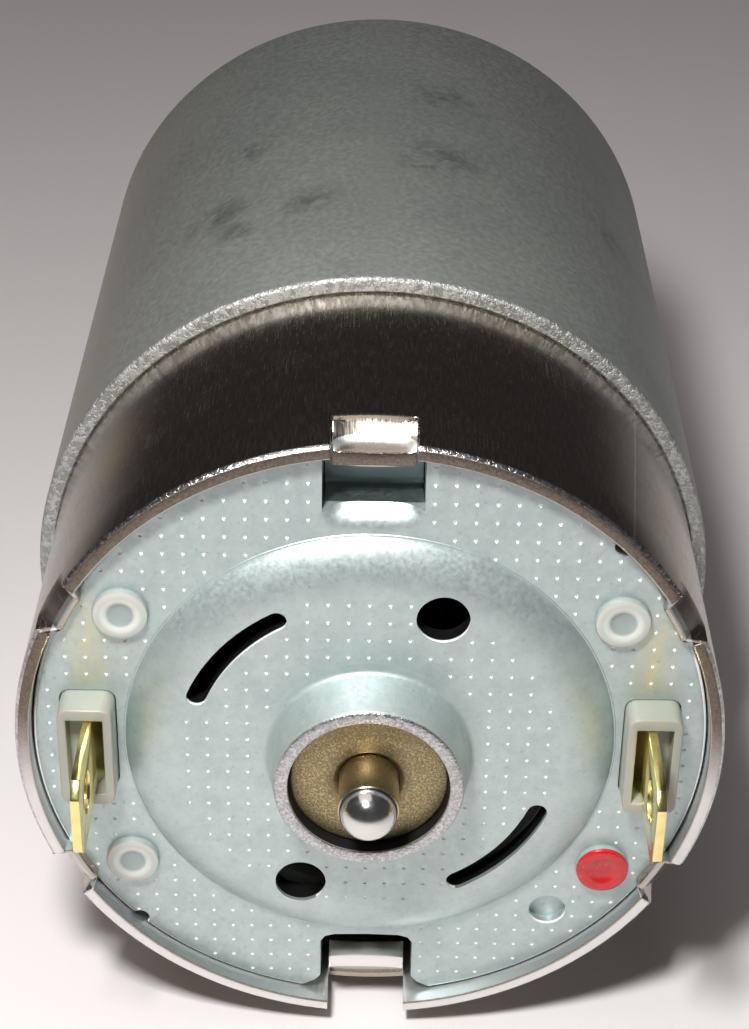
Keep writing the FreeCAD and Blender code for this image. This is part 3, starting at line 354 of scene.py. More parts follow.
    @staticmethod
    def ease(piece: bpy.types.Object, radius: float, along: float, width: float, rows: int) -> None:
        """Round a circular edge about the shaft.

        Args:
            piece: The turned piece.
            radius: The radius of the edge.
            along: Its place along the shaft.
            width: The width of the rounding.
            rows: How many rows of faces it has.
        """
        Bench.pick(
            piece, Pick.EDGES,
            lambda spot: abs(spot.y - along) < 0.003 and abs(math.hypot(spot.x, spot.z) - radius) < 0.003,
        )
        bpy.ops.mesh.bevel(offset=width * MM, segments=rows, affect="EDGES", clamp_overlap=True)
        bpy.ops.object.mode_set(mode="OBJECT")

    @staticmethod
    def soften(piece: bpy.types.Object, width: float, rows: int, angle: float = 40) -> None:
        """Round every sharp edge of a piece with an applied bevel.

        Args:
            piece: The piece.
            width: The width of the rounding.
            rows: How many rows of faces it has.
            angle: The least angle of an edge that is rounded, in degrees.
        """
        Bench.hold(piece)
        bevel = piece.modifiers.new("edges", "BEVEL")
        bevel.width = width * MM
        bevel.segments = rows
        bevel.limit_method = "ANGLE"
        bevel.angle_limit = math.radians(angle)
        bevel.harden_normals = False
        bpy.ops.object.modifier_apply(modifier=bevel.name)

    @staticmethod
    def ready(
        piece: bpy.types.Object, name: str, body: Body, material: bpy.types.Material,
        nodes: Sequence[str] = (), slot: str = "", smooth: float = 35,
    ) -> bpy.types.Object:
        """Name a finished piece, smooth it, dress it and hang it on its body.

        Args:
            piece: The piece.
            name: Its name.
            body: The body that it moves with.
            material: Its finish.
            nodes: The solids that it stands for.
            slot: Not used.
            smooth: The greatest angle between faces that is shaded smooth, in degrees.

        Returns:
            The piece.
        """
        Bench.hold(piece)
        bpy.ops.object.transform_apply(location=True, rotation=True, scale=True)
        bpy.ops.object.shade_smooth_by_angle(angle=math.radians(smooth))
        piece.name = name
        piece.data.name = name
        piece.data.materials.clear()
        piece.data.materials.append(material)
        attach(piece, body.value)
        if nodes:
            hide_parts(*nodes)
        LOG.info("%s: %d faces", name, len(piece.data.polygons))
        return piece


class Recipe:
    """A material under construction: one principled shader and what feeds it."""

    def __init__(self, name: str, **sockets: float | Colour) -> None:
        """Start a material.

        Args:
            name: The name of the material.
            sockets: Plain values of the shader's sockets, with spaces written as underscores.
        """
        self.material = bpy.data.materials.new(name)
        self.material.use_nodes = True
        self.tree = self.material.node_tree
        self.shader = self.tree.nodes["Principled BSDF"]
        self.place = self.tree.nodes.new("ShaderNodeTexCoord").outputs["Object"]
        self.fill(self.shader, {socket.replace("_", " "): value for socket, value in sockets.items()})

    def fill(self, node: bpy.types.Node, inputs: dict[str | int, object]) -> bpy.types.Node:
        """Give the inputs of a node their values.

        Args:
            node: The node.
            inputs: Another node's output, a colour or a plain value for each input, by name or number.

        Returns:
            The node.
        """
        for socket, value in inputs.items():
            target = node.inputs[socket]
            if isinstance(value, bpy.types.NodeSocket):
                self.tree.links.new(value, target)
            elif target.type == "RGBA":
                target.default_value = (*value, 1)
            else:
                target.default_value = value
        return node

    def feed(self, socket: str, value: object) -> None:
        """Feed one input of the shader."""
        self.fill(self.shader, {socket: value})

    def math(self, operation: str, first: object, second: object = 0.0, third: object = 0.0) -> bpy.types.NodeSocket:
        """Combine up to three values or links by an operation of the math node."""
        node = self.tree.nodes.new("ShaderNodeMath")
        node.operation = operation
        return self.fill(node, {0: first, 1: second, 2: third}).outputs[0]

    def axes(self) -> tuple[bpy.types.NodeSocket, bpy.types.NodeSocket, bpy.types.NodeSocket]:
        """Split the place of a point into across, along the shaft and up."""
        node = self.fill(self.tree.nodes.new("ShaderNodeSeparateXYZ"), {0: self.place})
        return node.outputs[0], node.outputs[1], node.outputs[2]

    def hypot(self, first: bpy.types.NodeSocket, second: bpy.types.NodeSocket) -> bpy.types.NodeSocket:
        """The length of the long side over two short ones."""
        return self.math("SQRT", self.math("ADD", self.both(first, first), self.both(second, second)))

    def unrolled(self, around: float, along: float) -> bpy.types.NodeSocket:
        """Unroll a round wall: angle about the shaft, place along it, and radius.

        Args:
            around: Scale of the angle, per radian.
            along: Scale of the place along the shaft, per metre.

        Returns:
            The unrolled place.
        """
        x, y, z = self.axes()
        angle = self.math("ARCTAN2", x, z)
        return self.fill(self.tree.nodes.new("ShaderNodeCombineXYZ"), {
            0: self.both(angle, around), 1: self.both(y, along), 2: self.both(self.hypot(x, z), along),
        }).outputs[0]

    def radius(self) -> bpy.types.NodeSocket:
        """Distance from the shaft's axis, in millimetres."""
        x, _, z = self.axes()
        return self.math("DIVIDE", self.hypot(x, z), MM)

    def depth(self, level: float) -> bpy.types.NodeSocket:
        """How far a point lies in front of a place along the shaft, in millimetres."""
        _, y, _ = self.axes()
        return self.math("SUBTRACT", self.math("DIVIDE", y, MM), level)

    def blot(self, centre: tuple[float, float, float], reach: float) -> bpy.types.NodeSocket:
        """A soft round blot.

        Args:
            centre: Its middle, in millimetres.
            reach: Its radius, in millimetres.

        Returns:
            1 in the middle and 0 outside.
        """
        node = self.tree.nodes.new("ShaderNodeVectorMath")
        node.operation = "DISTANCE"
        self.fill(node, {0: self.place, 1: Vector(centre) * MM})
        return self.span(node.outputs["Value"], 0.0, reach * MM, 1, 0)

    def both(self, *shares: bpy.types.NodeSocket | float) -> bpy.types.NodeSocket:
        """The product of two or more shares."""
        product = shares[0]
        for share in shares[1:]:
            product = self.math("MULTIPLY", product, share)
        return product

    def most(self, *shares: bpy.types.NodeSocket) -> bpy.types.NodeSocket:
        """The greatest of two or more shares."""
        greatest = shares[0]
        for share in shares[1:]:
            greatest = self.math("MAXIMUM", greatest, share)
        return greatest

    def stretched(self, x: float, y: float, z: float) -> bpy.types.NodeSocket:
        """The place of a point, scaled on each axis."""
        node = self.tree.nodes.new("ShaderNodeMapping")
        return self.fill(node, {"Vector": self.place, "Scale": (x, y, z)}).outputs[0]

    def noise(
        self, scale: float, detail: float = 4, rough: float = 0.55,
        at: bpy.types.NodeSocket | None = None, twist: float = 0,
    ) -> bpy.types.NodeSocket:
        """Cloudy noise between 0 and 1.

        Args:
            scale: Clouds per metre, or per unit of the place given.
            detail: How many finer layers it has.
            rough: How strong the finer layers are.
            at: The place that it reads, or the point's own place.
            twist: How much it is warped.

        Returns:
            The noise.
        """
        return self.fill(self.tree.nodes.new("ShaderNodeTexNoise"), {
            "Vector": at or self.place, "Scale": scale, "Detail": detail, "Roughness": rough, "Distortion": twist,
        }).outputs["Fac"]

    def cells(
        self, scale: float, at: bpy.types.NodeSocket | None = None, feature: str = "F1",
    ) -> bpy.types.NodeSocket:
        """Distance to the nearest of scattered points.

        Args:
            scale: Points per metre, or per unit of the place given.
            at: The place that it reads, or the point's own place.
            feature: Which distance is given.

        Returns:
            The distance.
        """
        node = self.tree.nodes.new("ShaderNodeTexVoronoi")
        node.feature = feature
        return self.fill(node, {"Vector": at or self.place, "Scale": scale}).outputs["Distance"]

    def span(
        self, value: bpy.types.NodeSocket, low: float, high: float, first: float = 0, last: float = 1,
    ) -> bpy.types.NodeSocket:
        """Map a stretch of values onto another, clamped.

        Args:
            value: The value.
            low: Start of the stretch.
            high: End of the stretch.
            first: What the start becomes.
            last: What the end becomes.

        Returns:
            The mapped value.
        """
        node = self.tree.nodes.new("ShaderNodeMapRange")
        node.interpolation_type = "SMOOTHSTEP"
        return self.fill(node, {
            "Value": value, "From Min": low, "From Max": high, "To Min": first, "To Max": last,
        }).outputs["Result"]

    def near(self, value: bpy.types.NodeSocket, full: float, none: float) -> bpy.types.NodeSocket:
        """1 where a value is nearer to zero than `full`, on either side, and 0 beyond `none`."""
        return self.span(self.math("ABSOLUTE", value), full, none, 1, 0)

    def mix(self, share: object, first: object, second: object) -> bpy.types.NodeSocket:
        """Mix two colours.

        Args:
            share: How much of the second shows.
            first: The first colour or link.
            second: The second colour or link.

        Returns:
            The mixed colour.
        """
        node = self.tree.nodes.new("ShaderNodeMix")
        node.data_type = "RGBA"
        return self.fill(node, {0: share, 6: first, 7: second}).outputs[2]

    def relief(self, height: bpy.types.NodeSocket, depth: float, strength: float = 1) -> None:
        """Add relief to the surface, on top of any that it has.

        Args:
            height: The height, from 0 to 1.
            depth: What 1 stands for, in millimetres.
            strength: How strongly it shades.
        """
        node = self.tree.nodes.new("ShaderNodeBump")
        self.fill(node, {"Strength": strength, "Distance": depth * MM, "Height": height})
        before = self.shader.inputs["Normal"]
        if before.is_linked:
            self.fill(node, {"Normal": before.links[0].from_socket})
        self.feed("Normal", node.outputs["Normal"])


@dataclass(frozen=True)
class RingZinc:
    """Satin zinc plating of the flux ring, with dark handling smudges, a burred edge and painted warm light on its left
    flank.
    """

    base: Colour = (0.46, 0.49, 0.46)
    cloud: Colour = (0.40, 0.43, 0.41)
    # warm is painted light: the warm tint of the ring's left flank, where the light falls.
    warm: Colour = (0.46, 0.42, 0.35)
    smudge: Colour = (0.10, 0.11, 0.10)
    burr: Colour = (0.50, 0.51, 0.50)
    burr_dent: Colour = (0.32, 0.32, 0.31)
    metal: float = 0.72
    rough: float = 0.46
    smudges: tuple[tuple[float, float, float, float], ...] = (
        (-10.0, -32.1, 17.3, 3.6), (-4.2, -34.0, 19.6, 2.6), (-8.5, -35.6, 18.1, 2.2), (3.7, -27.7, 19.7, 4.2),
        (4.6, -17.0, 19.5, 3.6), (15.0, -25.1, 13.2, 3.0), (-8.4, -23.0, 18.2, 3.0),
    )

    def make(self) -> bpy.types.Material:
        """The finish as a material."""
        recipe = Recipe("ring_zinc", Metallic=self.metal)
        clouds = recipe.span(recipe.noise(90, detail=6, rough=0.6), 0.35, 0.68)
        tone = recipe.mix(clouds, self.base, self.cloud)
        across, _, _ = recipe.axes()
        # Painted light: the ring's left flank is tinted warm, as the light falls on it from the left.
        tone = recipe.mix(recipe.span(across, -0.020, -0.008, 0.6, 0), tone, self.warm)
        torn = recipe.span(recipe.noise(420, detail=8, rough=0.7, twist=0.5), 0.42, 0.62)
        for x, y, z, reach in self.smudges:
            amount = recipe.both(recipe.blot((x, y, z), reach), torn)
            tone = recipe.mix(recipe.both(amount, 0.6), tone, self.smudge)
        grain = recipe.noise(1, detail=3, rough=0.7, at=recipe.unrolled(60, 2600))
        tone = recipe.mix(recipe.span(grain, 0.3, 0.7, 0.0, 0.12), tone, self.smudge)
        fleck = recipe.span(recipe.noise(3000, detail=3, rough=0.7), 0.40, 0.60)
        edge = recipe.span(recipe.depth(FluxRing().rear + 0.18), 0.0, 0.06, 1, 0)
        tone = recipe.mix(edge, tone, recipe.mix(fleck, self.burr_dent, self.burr))
        recipe.feed("Base Color", tone)
        speck = recipe.noise(2600, detail=2)
        recipe.feed("Roughness", recipe.span(speck, 0.25, 0.75, self.rough - 0.07, self.rough + 0.08))
        recipe.relief(speck, 0.006, 0.5)
        recipe.relief(grain, 0.004, 0.4)
        recipe.relief(recipe.both(fleck, edge), 0.04, 0.8)
        return recipe.material


@dataclass(frozen=True)
class CanZinc:
    """Dark glossy plating of the drawn can: rolled grain, scratches and a cut brown rim, with painted pale reflections
    on the lower rim and the lower locking tab.
    """

    base: Colour = (0.42, 0.39, 0.35)
    warm: Colour = (0.54, 0.44, 0.30)
    worn: Colour = (0.80, 0.74, 0.62)
    dent: Colour = (0.46, 0.45, 0.44)
    cut: Colour = (0.24, 0.20, 0.165)
    bright: Colour = (0.72, 0.72, 0.71)
    inside: Colour = (0.58, 0.61, 0.60)
    gold: Colour = (0.85, 0.66, 0.36)
    # lower is a painted reflection: the pale cut rim face below the axis, where it mirrors the bright floor.
    lower: Colour = (0.82, 0.80, 0.78)
    # pale is a painted highlight: the glare on the lower locking tab's upward face.
    pale: Colour = (0.90, 0.87, 0.87)
    streak: float = 0.55
    rough: float = 0.20

    def make(self) -> bpy.types.Material:
        """The finish as a material."""
        recipe = Recipe("can_zinc", Metallic=1.0)
        grain = recipe.noise(1, detail=4, rough=0.7, at=recipe.unrolled(26, 5200))
        rows = recipe.noise(1, detail=3, rough=0.6, at=recipe.unrolled(260, 900))
        tone = recipe.mix(recipe.span(grain, 0.3, 0.75, 0, 0.5), self.base, self.warm)
        hair = recipe.cells(1, at=recipe.unrolled(95, 55), feature="DISTANCE_TO_EDGE")
        where = recipe.span(recipe.noise(160, detail=2), 0.60, 0.68)
        scratch = recipe.both(recipe.span(hair, 0.0, 0.012, 1, 0), where)
        tone = recipe.mix(scratch, tone, self.worn)
        x, y, z = recipe.axes()
        for centre, reach, amount in (((-13.5, -53.0, 13.5), 4.5, 0.7), ((-9.3, -50.4, 16.6), 0.55, 1.0)):
            spread = recipe.both(recipe.blot(centre, reach), recipe.span(rows, 0.35, 0.6))
            tone = recipe.mix(recipe.both(spread, amount), tone, self.gold)
        line = recipe.math("SUBTRACT", recipe.math("ARCTAN2", x, z), recipe.math("MULTIPLY_ADD", y, 7.7, 1.247))
        tone = recipe.mix(recipe.near(line, 0.0015, 0.0045), tone, self.worn)
        radius = recipe.radius()
        bore = recipe.both(
            recipe.span(radius, 18.26, 18.34, 1, 0), recipe.span(radius, 17.9, 18.1),
            recipe.span(recipe.depth(RIM), 0.03, 0.1),
        )
        tone = recipe.mix(bore, tone, self.inside)
        streaks = recipe.noise(1, detail=4, rough=0.7, at=recipe.unrolled(150, 9000))
        face = recipe.both(recipe.span(recipe.depth(RIM), 0.03, 0.06, 1, 0), recipe.span(radius, 18.30, 18.36))
        tab_end = recipe.both(
            recipe.span(recipe.depth(RIM + 1.36), 0.0, 0.02), recipe.span(recipe.depth(RIM + 1.44), 0.0, 0.02, 1, 0),
            recipe.span(radius, 17.05, 17.1), recipe.span(radius, 17.85, 17.9, 1, 0),
        )
        cut = recipe.mix(recipe.span(streaks, 0.35, 0.7), self.cut, tuple(self.streak * part for part in self.cut))
        # Painted reflection: below the axis the cut face takes the pale lower colour instead of brown.
        cut = recipe.mix(recipe.span(z, -0.004, 0.003), self.lower, cut)
        tone = recipe.mix(recipe.most(face, tab_end), tone, cut)
        fleck = recipe.span(recipe.noise(3400, detail=3, rough=0.7), 0.42, 0.60)
        rim = recipe.both(
            recipe.span(recipe.depth(RIM), 0.03, 0.05), recipe.span(recipe.depth(RIM), 0.22, 0.30, 1, 0),
            recipe.span(radius, 18.6, 18.7),
        )
        tone = recipe.mix(rim, tone, recipe.mix(fleck, self.dent, self.bright))
        # Painted highlight: the lower locking tab is painted pale where it catches the light; the upper tab keeps the
        # can's colour.
        lower_tab_glare = recipe.both(
            recipe.near(x, 0.0022, 0.0023), recipe.span(z, -0.0159, -0.0158, 1, 0),
            recipe.span(radius, 17.9, 18.1, 1, 0), recipe.span(recipe.depth(RIM + 3.2), 0.0, 0.1, 1, 0),
        )
        tone = recipe.mix(lower_tab_glare, tone, self.pale)
        recipe.feed("Base Color", tone)
        rough = recipe.span(rows, 0.3, 0.7, self.rough - 0.05, self.rough + 0.08)
        dull = recipe.most(lower_tab_glare, face, bore)
        rough = recipe.math("ADD", rough, recipe.both(dull, 0.22))
        recipe.feed("Roughness", rough)
        recipe.relief(grain, 0.0035, 0.5)
        recipe.relief(rows, 0.004, 0.4)
        recipe.relief(scratch, 0.01, 0.6)
        recipe.relief(recipe.both(fleck, rim), 0.02, 0.7)
        recipe.relief(recipe.both(streaks, recipe.most(face, tab_end)), 0.04, 0.7)
        return recipe.material


@dataclass(frozen=True)
class PlateZinc:
    """Pale satin zinc of the end plate: bluish grey, with painted white glints in its dimples and painted shade in its
    holes, under the lip and in the boss, stained above the tabs.
    """

    base: Colour = (0.52, 0.60, 0.59)
    cloud: Colour = (0.45, 0.53, 0.525)
    stain: Colour = (0.72, 0.64, 0.34)
    # bright is a painted highlight: the white glint in the dimples.
    bright: Colour = (1.0, 1.0, 1.0)
    # dark is painted shade: the walls of the vents and curved slots and the boss's bore above the bearing.
    dark: Colour = (0.02, 0.02, 0.02)
    hammered: Colour = (0.42, 0.41, 0.425)
    hammered_bright: Colour = (0.66, 0.67, 0.66)
    boss_fleck: Colour = (0.50, 0.53, 0.52)
    lip_painted_shade: Colour = (0.34, 0.41, 0.42)
    speck: Colour = (0.24, 0.28, 0.30)
    metal: float = 0.70
    rough: float = 0.44

    def make(self) -> bpy.types.Material:
        """The finish as a material."""
        recipe = Recipe("plate_zinc")
        plate = EndPlate()
        clouds = recipe.span(recipe.noise(900, detail=8, rough=0.75), 0.36, 0.66)
        tone = recipe.mix(clouds, self.base, self.cloud)
        x, _, z = recipe.axes()
        side = recipe.near(recipe.math("SUBTRACT", recipe.math("ABSOLUTE", x), 0.0150), 0.0, 0.0016)
        high = recipe.both(recipe.span(z, 0.0028, 0.0042), recipe.span(z, 0.0055, 0.0105, 1, 0))
        streaks = recipe.span(recipe.noise(1, at=recipe.stretched(1500, 900, 350)), 0.3, 0.7, 0.3, 1)
        amount = recipe.both(side, high, streaks)
        tone = recipe.mix(recipe.both(amount, 0.8), tone, self.stain)
        specks = recipe.span(recipe.noise(3600, detail=3, rough=0.7), 0.64, 0.72)
        tone = recipe.mix(recipe.both(specks, 0.45), tone, self.speck)
        radius = recipe.radius()
        outer = recipe.span(radius, 13.3, 13.36)
        inner = recipe.both(recipe.span(radius, 10.34, 10.38, 1, 0), recipe.span(radius, 5.9, 6.0))
        deep_outer = recipe.depth(plate.face)
        deep_inner = recipe.depth(plate.plateau_face)
        # Painted highlight: the dimples' walls are painted white and not metallic, standing for the glint of the light
        # in them.
        dimple_glint = recipe.math("ADD", *(
            recipe.both(zone, recipe.span(deep, 0.015, 0.035), recipe.span(deep, 0.20, 0.24, 1, 0))
            for zone, deep in ((outer, deep_outer), (inner, deep_inner))
        ))
        notch = recipe.both(recipe.near(x, 0.00262, 0.00268), recipe.span(z, 0.0134, 0.0135))
        dimple_glint = recipe.both(dimple_glint, recipe.math("SUBTRACT", 1.0, notch))
        tone = recipe.mix(dimple_glint, tone, self.bright)
        # Painted shade: the walls of the holes in the raised middle and the boss's bore above the bearing are painted
        # near black.
        shaded_hole_walls = recipe.both(
            recipe.span(deep_inner, 0.24, 0.30), recipe.span(radius, 11.1, 11.2, 1, 0), recipe.span(radius, 5.7, 5.8),
        )
        seat = recipe.both(
            recipe.span(radius, 4.45, 4.5, 1, 0), recipe.span(recipe.depth(plate.boss_face), 0.12, 0.16),
        )
        lip = recipe.both(notch, recipe.span(recipe.depth(RIM + 1.7), 0.0, 0.1), recipe.span(z, 0.0142, 0.0143))
        tone = recipe.mix(recipe.most(shaded_hole_walls, seat), tone, self.dark)
        # Painted shade: the lip inside the upper notch, under the locking tab, is painted darker.
        tone = recipe.mix(recipe.both(lip, 0.85), tone, self.lip_painted_shade)
        top = recipe.depth(plate.boss_face)
        ring = recipe.both(recipe.span(top, 0.06, 0.12, 1, 0), recipe.span(radius, 5.2, 5.3, 1, 0))
        beaten = recipe.cells(7600)
        fleck = recipe.span(recipe.noise(8000, detail=3, rough=0.7), 0.42, 0.62)
        tone = recipe.mix(ring, tone, recipe.mix(fleck, self.hammered, self.hammered_bright))
        collar = recipe.both(
            recipe.span(top, 0.12, 0.2), recipe.span(top, 0.4, 1.0, 1, 0), recipe.span(radius, 5.4, 5.6, 1, 0),
            recipe.span(radius, 4.6, 4.7),
        )
        tone = recipe.mix(recipe.both(collar, fleck), tone, self.boss_fleck)
        recipe.feed("Base Color", tone)
        metal = recipe.math("ADD", self.metal, recipe.both(recipe.most(ring, lip), 0.3))
        recipe.feed("Metallic", recipe.both(metal, recipe.math("SUBTRACT", 1.0, dimple_glint)))
        fine = recipe.noise(3800, detail=2)
        rough = recipe.span(fine, 0.25, 0.75, self.rough - 0.06, self.rough + 0.08)
        gloss = recipe.both(ring, 0.18)
        gloss = recipe.math("SUBTRACT", gloss, recipe.both(recipe.span(radius, 5.6, 6.2, 1, 0), 0.12))
        recipe.feed("Roughness", recipe.math("SUBTRACT", rough, gloss))
        recipe.relief(fine, 0.008, 0.8)
        recipe.relief(recipe.noise(420, detail=3), 0.01, 0.25)
        recipe.relief(recipe.both(ring, beaten), 0.03, 0.9)
        return recipe.material


@dataclass(frozen=True)
class MilkyNylon:
    """Milky moulded nylon of the brush card: greyer collars, pale rings on the heads, and grey painted shade in the
    heads' dents and round their edges.
    """

    base: Colour = (0.56, 0.60, 0.54)
    ring: Colour = (0.50, 0.53, 0.49)
    brow: Colour = (0.62, 0.65, 0.61)
    # dent is painted shade: the grey of the heads' dents and of the ring of shadow round each head.
    dent: Colour = (0.33, 0.38, 0.37)
    collar: Colour = (0.35, 0.375, 0.32)
    deep: Colour = (0.50, 0.55, 0.48)

    def make(self) -> bpy.types.Material:
        """The finish as a material."""
        recipe = Recipe(
            "milky_nylon", Roughness=0.30, Subsurface_Weight=0.45, Subsurface_Scale=0.0012, IOR=1.53,
        )
        x, _, z = recipe.axes()
        post = polar(EndPlate().post_track, EndPlate().post_angle)
        across = recipe.math("SUBTRACT", recipe.math("DIVIDE", recipe.math("ABSOLUTE", x), MM), post[0])
        up = recipe.math("SUBTRACT", recipe.math("DIVIDE", recipe.math("ABSOLUTE", z), MM), post[1])
        distance = recipe.hypot(across, up)
        tone = recipe.mix(recipe.noise(700, detail=4), self.base, self.deep)
        head = recipe.mix(recipe.span(distance, 0.95, 1.15), self.brow, self.ring)
        # Painted shade: the dent in each head is grey, and so is a narrow ring round the head's edge.
        head = recipe.mix(recipe.span(distance, 0.62, 0.82), self.dent, head)
        head = recipe.mix(recipe.span(distance, 1.36, 1.47), head, self.dent)
        collar = recipe.both(
            recipe.span(recipe.math("ABSOLUTE", x), 0.0135, 0.0136),
            recipe.near(z, 0.0032, 0.0033),
        )
        tone = recipe.mix(collar, tone, self.collar)
        tone = recipe.mix(recipe.span(distance, 1.6, 1.7, 1, 0), tone, head)
        recipe.feed("Base Color", tone)
        recipe.relief(recipe.noise(2600, detail=3), 0.01, 0.5)
        return recipe.material


@dataclass(frozen=True)
class RedLacquer:
    """A drop of red marking lacquer with a few dried bubbles."""

    base: Colour = (0.70, 0.012, 0.02)
    deep: Colour = (0.33, 0.012, 0.012)
    bubble: Colour = (0.9, 0.3, 0.3)

    def make(self) -> bpy.types.Material:
        """The finish as a material."""
        recipe = Recipe("red_lacquer", Roughness=0.24, Coat_Weight=0.4, Coat_Roughness=0.12)
        bubbles = recipe.span(recipe.cells(2600), 0.0, 0.22, 1, 0)
        tone = recipe.mix(recipe.noise(900), self.base, self.deep)
        recipe.feed("Base Color", recipe.mix(recipe.both(bubbles, 0.3), tone, self.bubble))
        recipe.relief(recipe.noise(1500), 0.03, 0.5)
        recipe.relief(bubbles, 0.01, 0.4)
        return recipe.material


@dataclass(frozen=True)
class Metal:
    """A bare or plated metal with a fine grain and soft tarnish."""

    name: str
    base: Colour
    tarnish: Colour
    rough: float
    grain: float = 2500
    clouds: float = 500
    depth: float = 0.004

    def make(self) -> bpy.types.Material:
        """The finish as a material."""
        recipe = Recipe(self.name, Metallic=1.0)
        patches = recipe.span(recipe.noise(self.clouds, detail=5, rough=0.6), 0.35, 0.7)
        recipe.feed("Base Color", recipe.mix(patches, self.base, self.tarnish))
        fine = recipe.noise(1, detail=3, at=recipe.stretched(self.grain, self.grain * 0.35, self.grain))
        recipe.feed("Roughness", recipe.span(fine, 0.25, 0.75, self.rough * 0.75, self.rough * 1.3))
        recipe.relief(fine, self.depth, 0.6)
        return recipe.material


@dataclass(frozen=True)
class ShaftSteel:
    """Ground steel: a polished domed tail and a satin side painted pale gold, a painted reflection of the bronze
    bearing.
    """

    dome: Colour = (0.70, 0.69, 0.67)
    # side is a painted reflection: the gold of the bronze bearing mirrored in the shaft's side.
    side: Colour = (0.66, 0.56, 0.38)

    def make(self) -> bpy.types.Material:
        """The finish as a material."""
        recipe = Recipe("ground_steel", Metallic=1.0)
        shaft = Shaft()
        side = recipe.span(recipe.depth(shaft.tip + shaft.dome), -0.08, 0.12)
        # Painted reflection: the side of the shaft is tinted gold as it mirrors the bronze bearing.
        recipe.feed("Base Color", recipe.mix(side, self.dome, self.side))
        turned = recipe.noise(1, detail=3, at=recipe.unrolled(30, 9000))
        satin = recipe.span(turned, 0.3, 0.7, 0.26, 0.36)
        polish = recipe.span(recipe.noise(1500, detail=3), 0.3, 0.7, 0.13, 0.22)
        share = recipe.both(recipe.math("SUBTRACT", satin, polish), side)
        recipe.feed("Roughness", recipe.math("ADD", polish, share))
        recipe.relief(turned, 0.002, 0.4)
        return recipe.material


@dataclass(frozen=True)
class SinteredBronze:
    """Porous oiled bronze: very fine olive and gold grains with small dark pores, and painted shade at its outer edge.
    """

    base: Colour = (0.25, 0.20, 0.10)
    bright: Colour = (0.60, 0.50, 0.28)
    violet: Colour = (0.25, 0.18, 0.18)
    pore: Colour = (0.09, 0.075, 0.04)
    bore_tone: Colour = (0.12, 0.09, 0.05)
    # edge is painted shade: the dark gap between the bearing and the boss.
    edge: Colour = (0.10, 0.05, 0.04)

    def make(self) -> bpy.types.Material:
        """The finish as a material."""
        recipe = Recipe("sintered_bronze", Metallic=0.85)
        grains = recipe.noise(9500, detail=4, rough=0.8)
        tone = recipe.mix(recipe.span(grains, 0.46, 0.62), self.base, self.bright)
        tone = recipe.mix(recipe.span(recipe.noise(6000, detail=2), 0.54, 0.64, 0, 0.5), tone, self.violet)
        pores = recipe.span(recipe.noise(8000, detail=3, rough=0.7), 0.34, 0.43, 0.8, 0)
        tone = recipe.mix(pores, tone, self.pore)
        radius = recipe.radius()
        near = recipe.span(radius, 1.6, 2.6, 0.7, 0)
        # Darker towards the bore.
        tone = recipe.mix(near, tone, self.bore_tone)
        # Painted shade: a dark ring at the bearing's outer edge, in the gap against the boss.
        tone = recipe.mix(recipe.span(radius, 4.12, 4.17), tone, self.edge)
        recipe.feed("Base Color", tone)
        recipe.feed("Roughness", recipe.span(grains, 0.3, 0.7, 0.34, 0.52))
        recipe.relief(grains, 0.016, 0.8)
        return recipe.material


@dataclass(frozen=True)
class Pressed:
    """A dull pressed, moulded or fired material with fine grain."""

    name: str
    base: Colour
    spot: Colour
    rough: float
    grain: float = 1600

    def make(self) -> bpy.types.Material:
        """The finish as a material."""
        recipe = Recipe(self.name)
        grains = recipe.noise(self.grain, detail=5, rough=0.7)
        recipe.feed("Base Color", recipe.mix(recipe.span(grains, 0.4, 0.65), self.base, self.spot))
        recipe.feed("Roughness", recipe.span(grains, 0.3, 0.7, self.rough - 0.08, self.rough + 0.08))
        recipe.relief(grains, 0.01, 0.6)
        return recipe.material


@dataclass(frozen=True)
class Laminated:
    """Stacked steel sheets, half a millimetre each."""

    base: Colour = (0.34, 0.35, 0.37)
    gap: Colour = (0.06, 0.06, 0.07)
    rust: Colour = (0.30, 0.26, 0.23)
    sheet: float = 0.5

    def make(self) -> bpy.types.Material:
        """The finish as a material."""
        recipe = Recipe("lamination_steel", Metallic=0.9)
        _, along, _ = recipe.axes()
        step = recipe.math("FRACT", recipe.math("DIVIDE", along, self.sheet * MM))
        line = recipe.math("PINGPONG", step, 0.5)
        seam = recipe.span(line, 0.0, 0.12, 1, 0)
        rust = recipe.span(recipe.noise(700, detail=5), 0.5, 0.7, 0, 0.4)
        tone = recipe.mix(rust, self.base, self.rust)
        recipe.feed("Base Color", recipe.mix(seam, tone, self.gap))
        recipe.feed("Roughness", recipe.span(recipe.noise(2200), 0.3, 0.7, 0.35, 0.55))
        recipe.relief(line, 0.05, 0.7)
        return recipe.material


@dataclass(frozen=True)
class EnamelledWire:
    """Copper wire under clear enamel, wound in rows along the shaft, with painted shade between the rows."""

    base: Colour = (0.62, 0.24, 0.08)
    wire_gap_shade: Colour = (0.28, 0.09, 0.03)
    wire: float = 0.45

    def make(self) -> bpy.types.Material:
        """The finish as a material."""
        recipe = Recipe("enamelled_wire", Metallic=0.6, Roughness=0.3, Coat_Weight=0.5)
        rows = recipe.tree.nodes.new("ShaderNodeTexWave")
        rows.wave_type = "RINGS"
        rows.rings_direction = "Y"
        recipe.fill(rows, {"Vector": recipe.place, "Scale": 1 / (self.wire * MM) / 10, "Distortion": 0.6})
        height = rows.outputs["Fac"]
        # Painted shade: the grooves between the rows of wire are darker.
        recipe.feed("Base Color", recipe.mix(height, self.wire_gap_shade, self.base))
        recipe.relief(height, 0.2, 0.8)
        return recipe.material


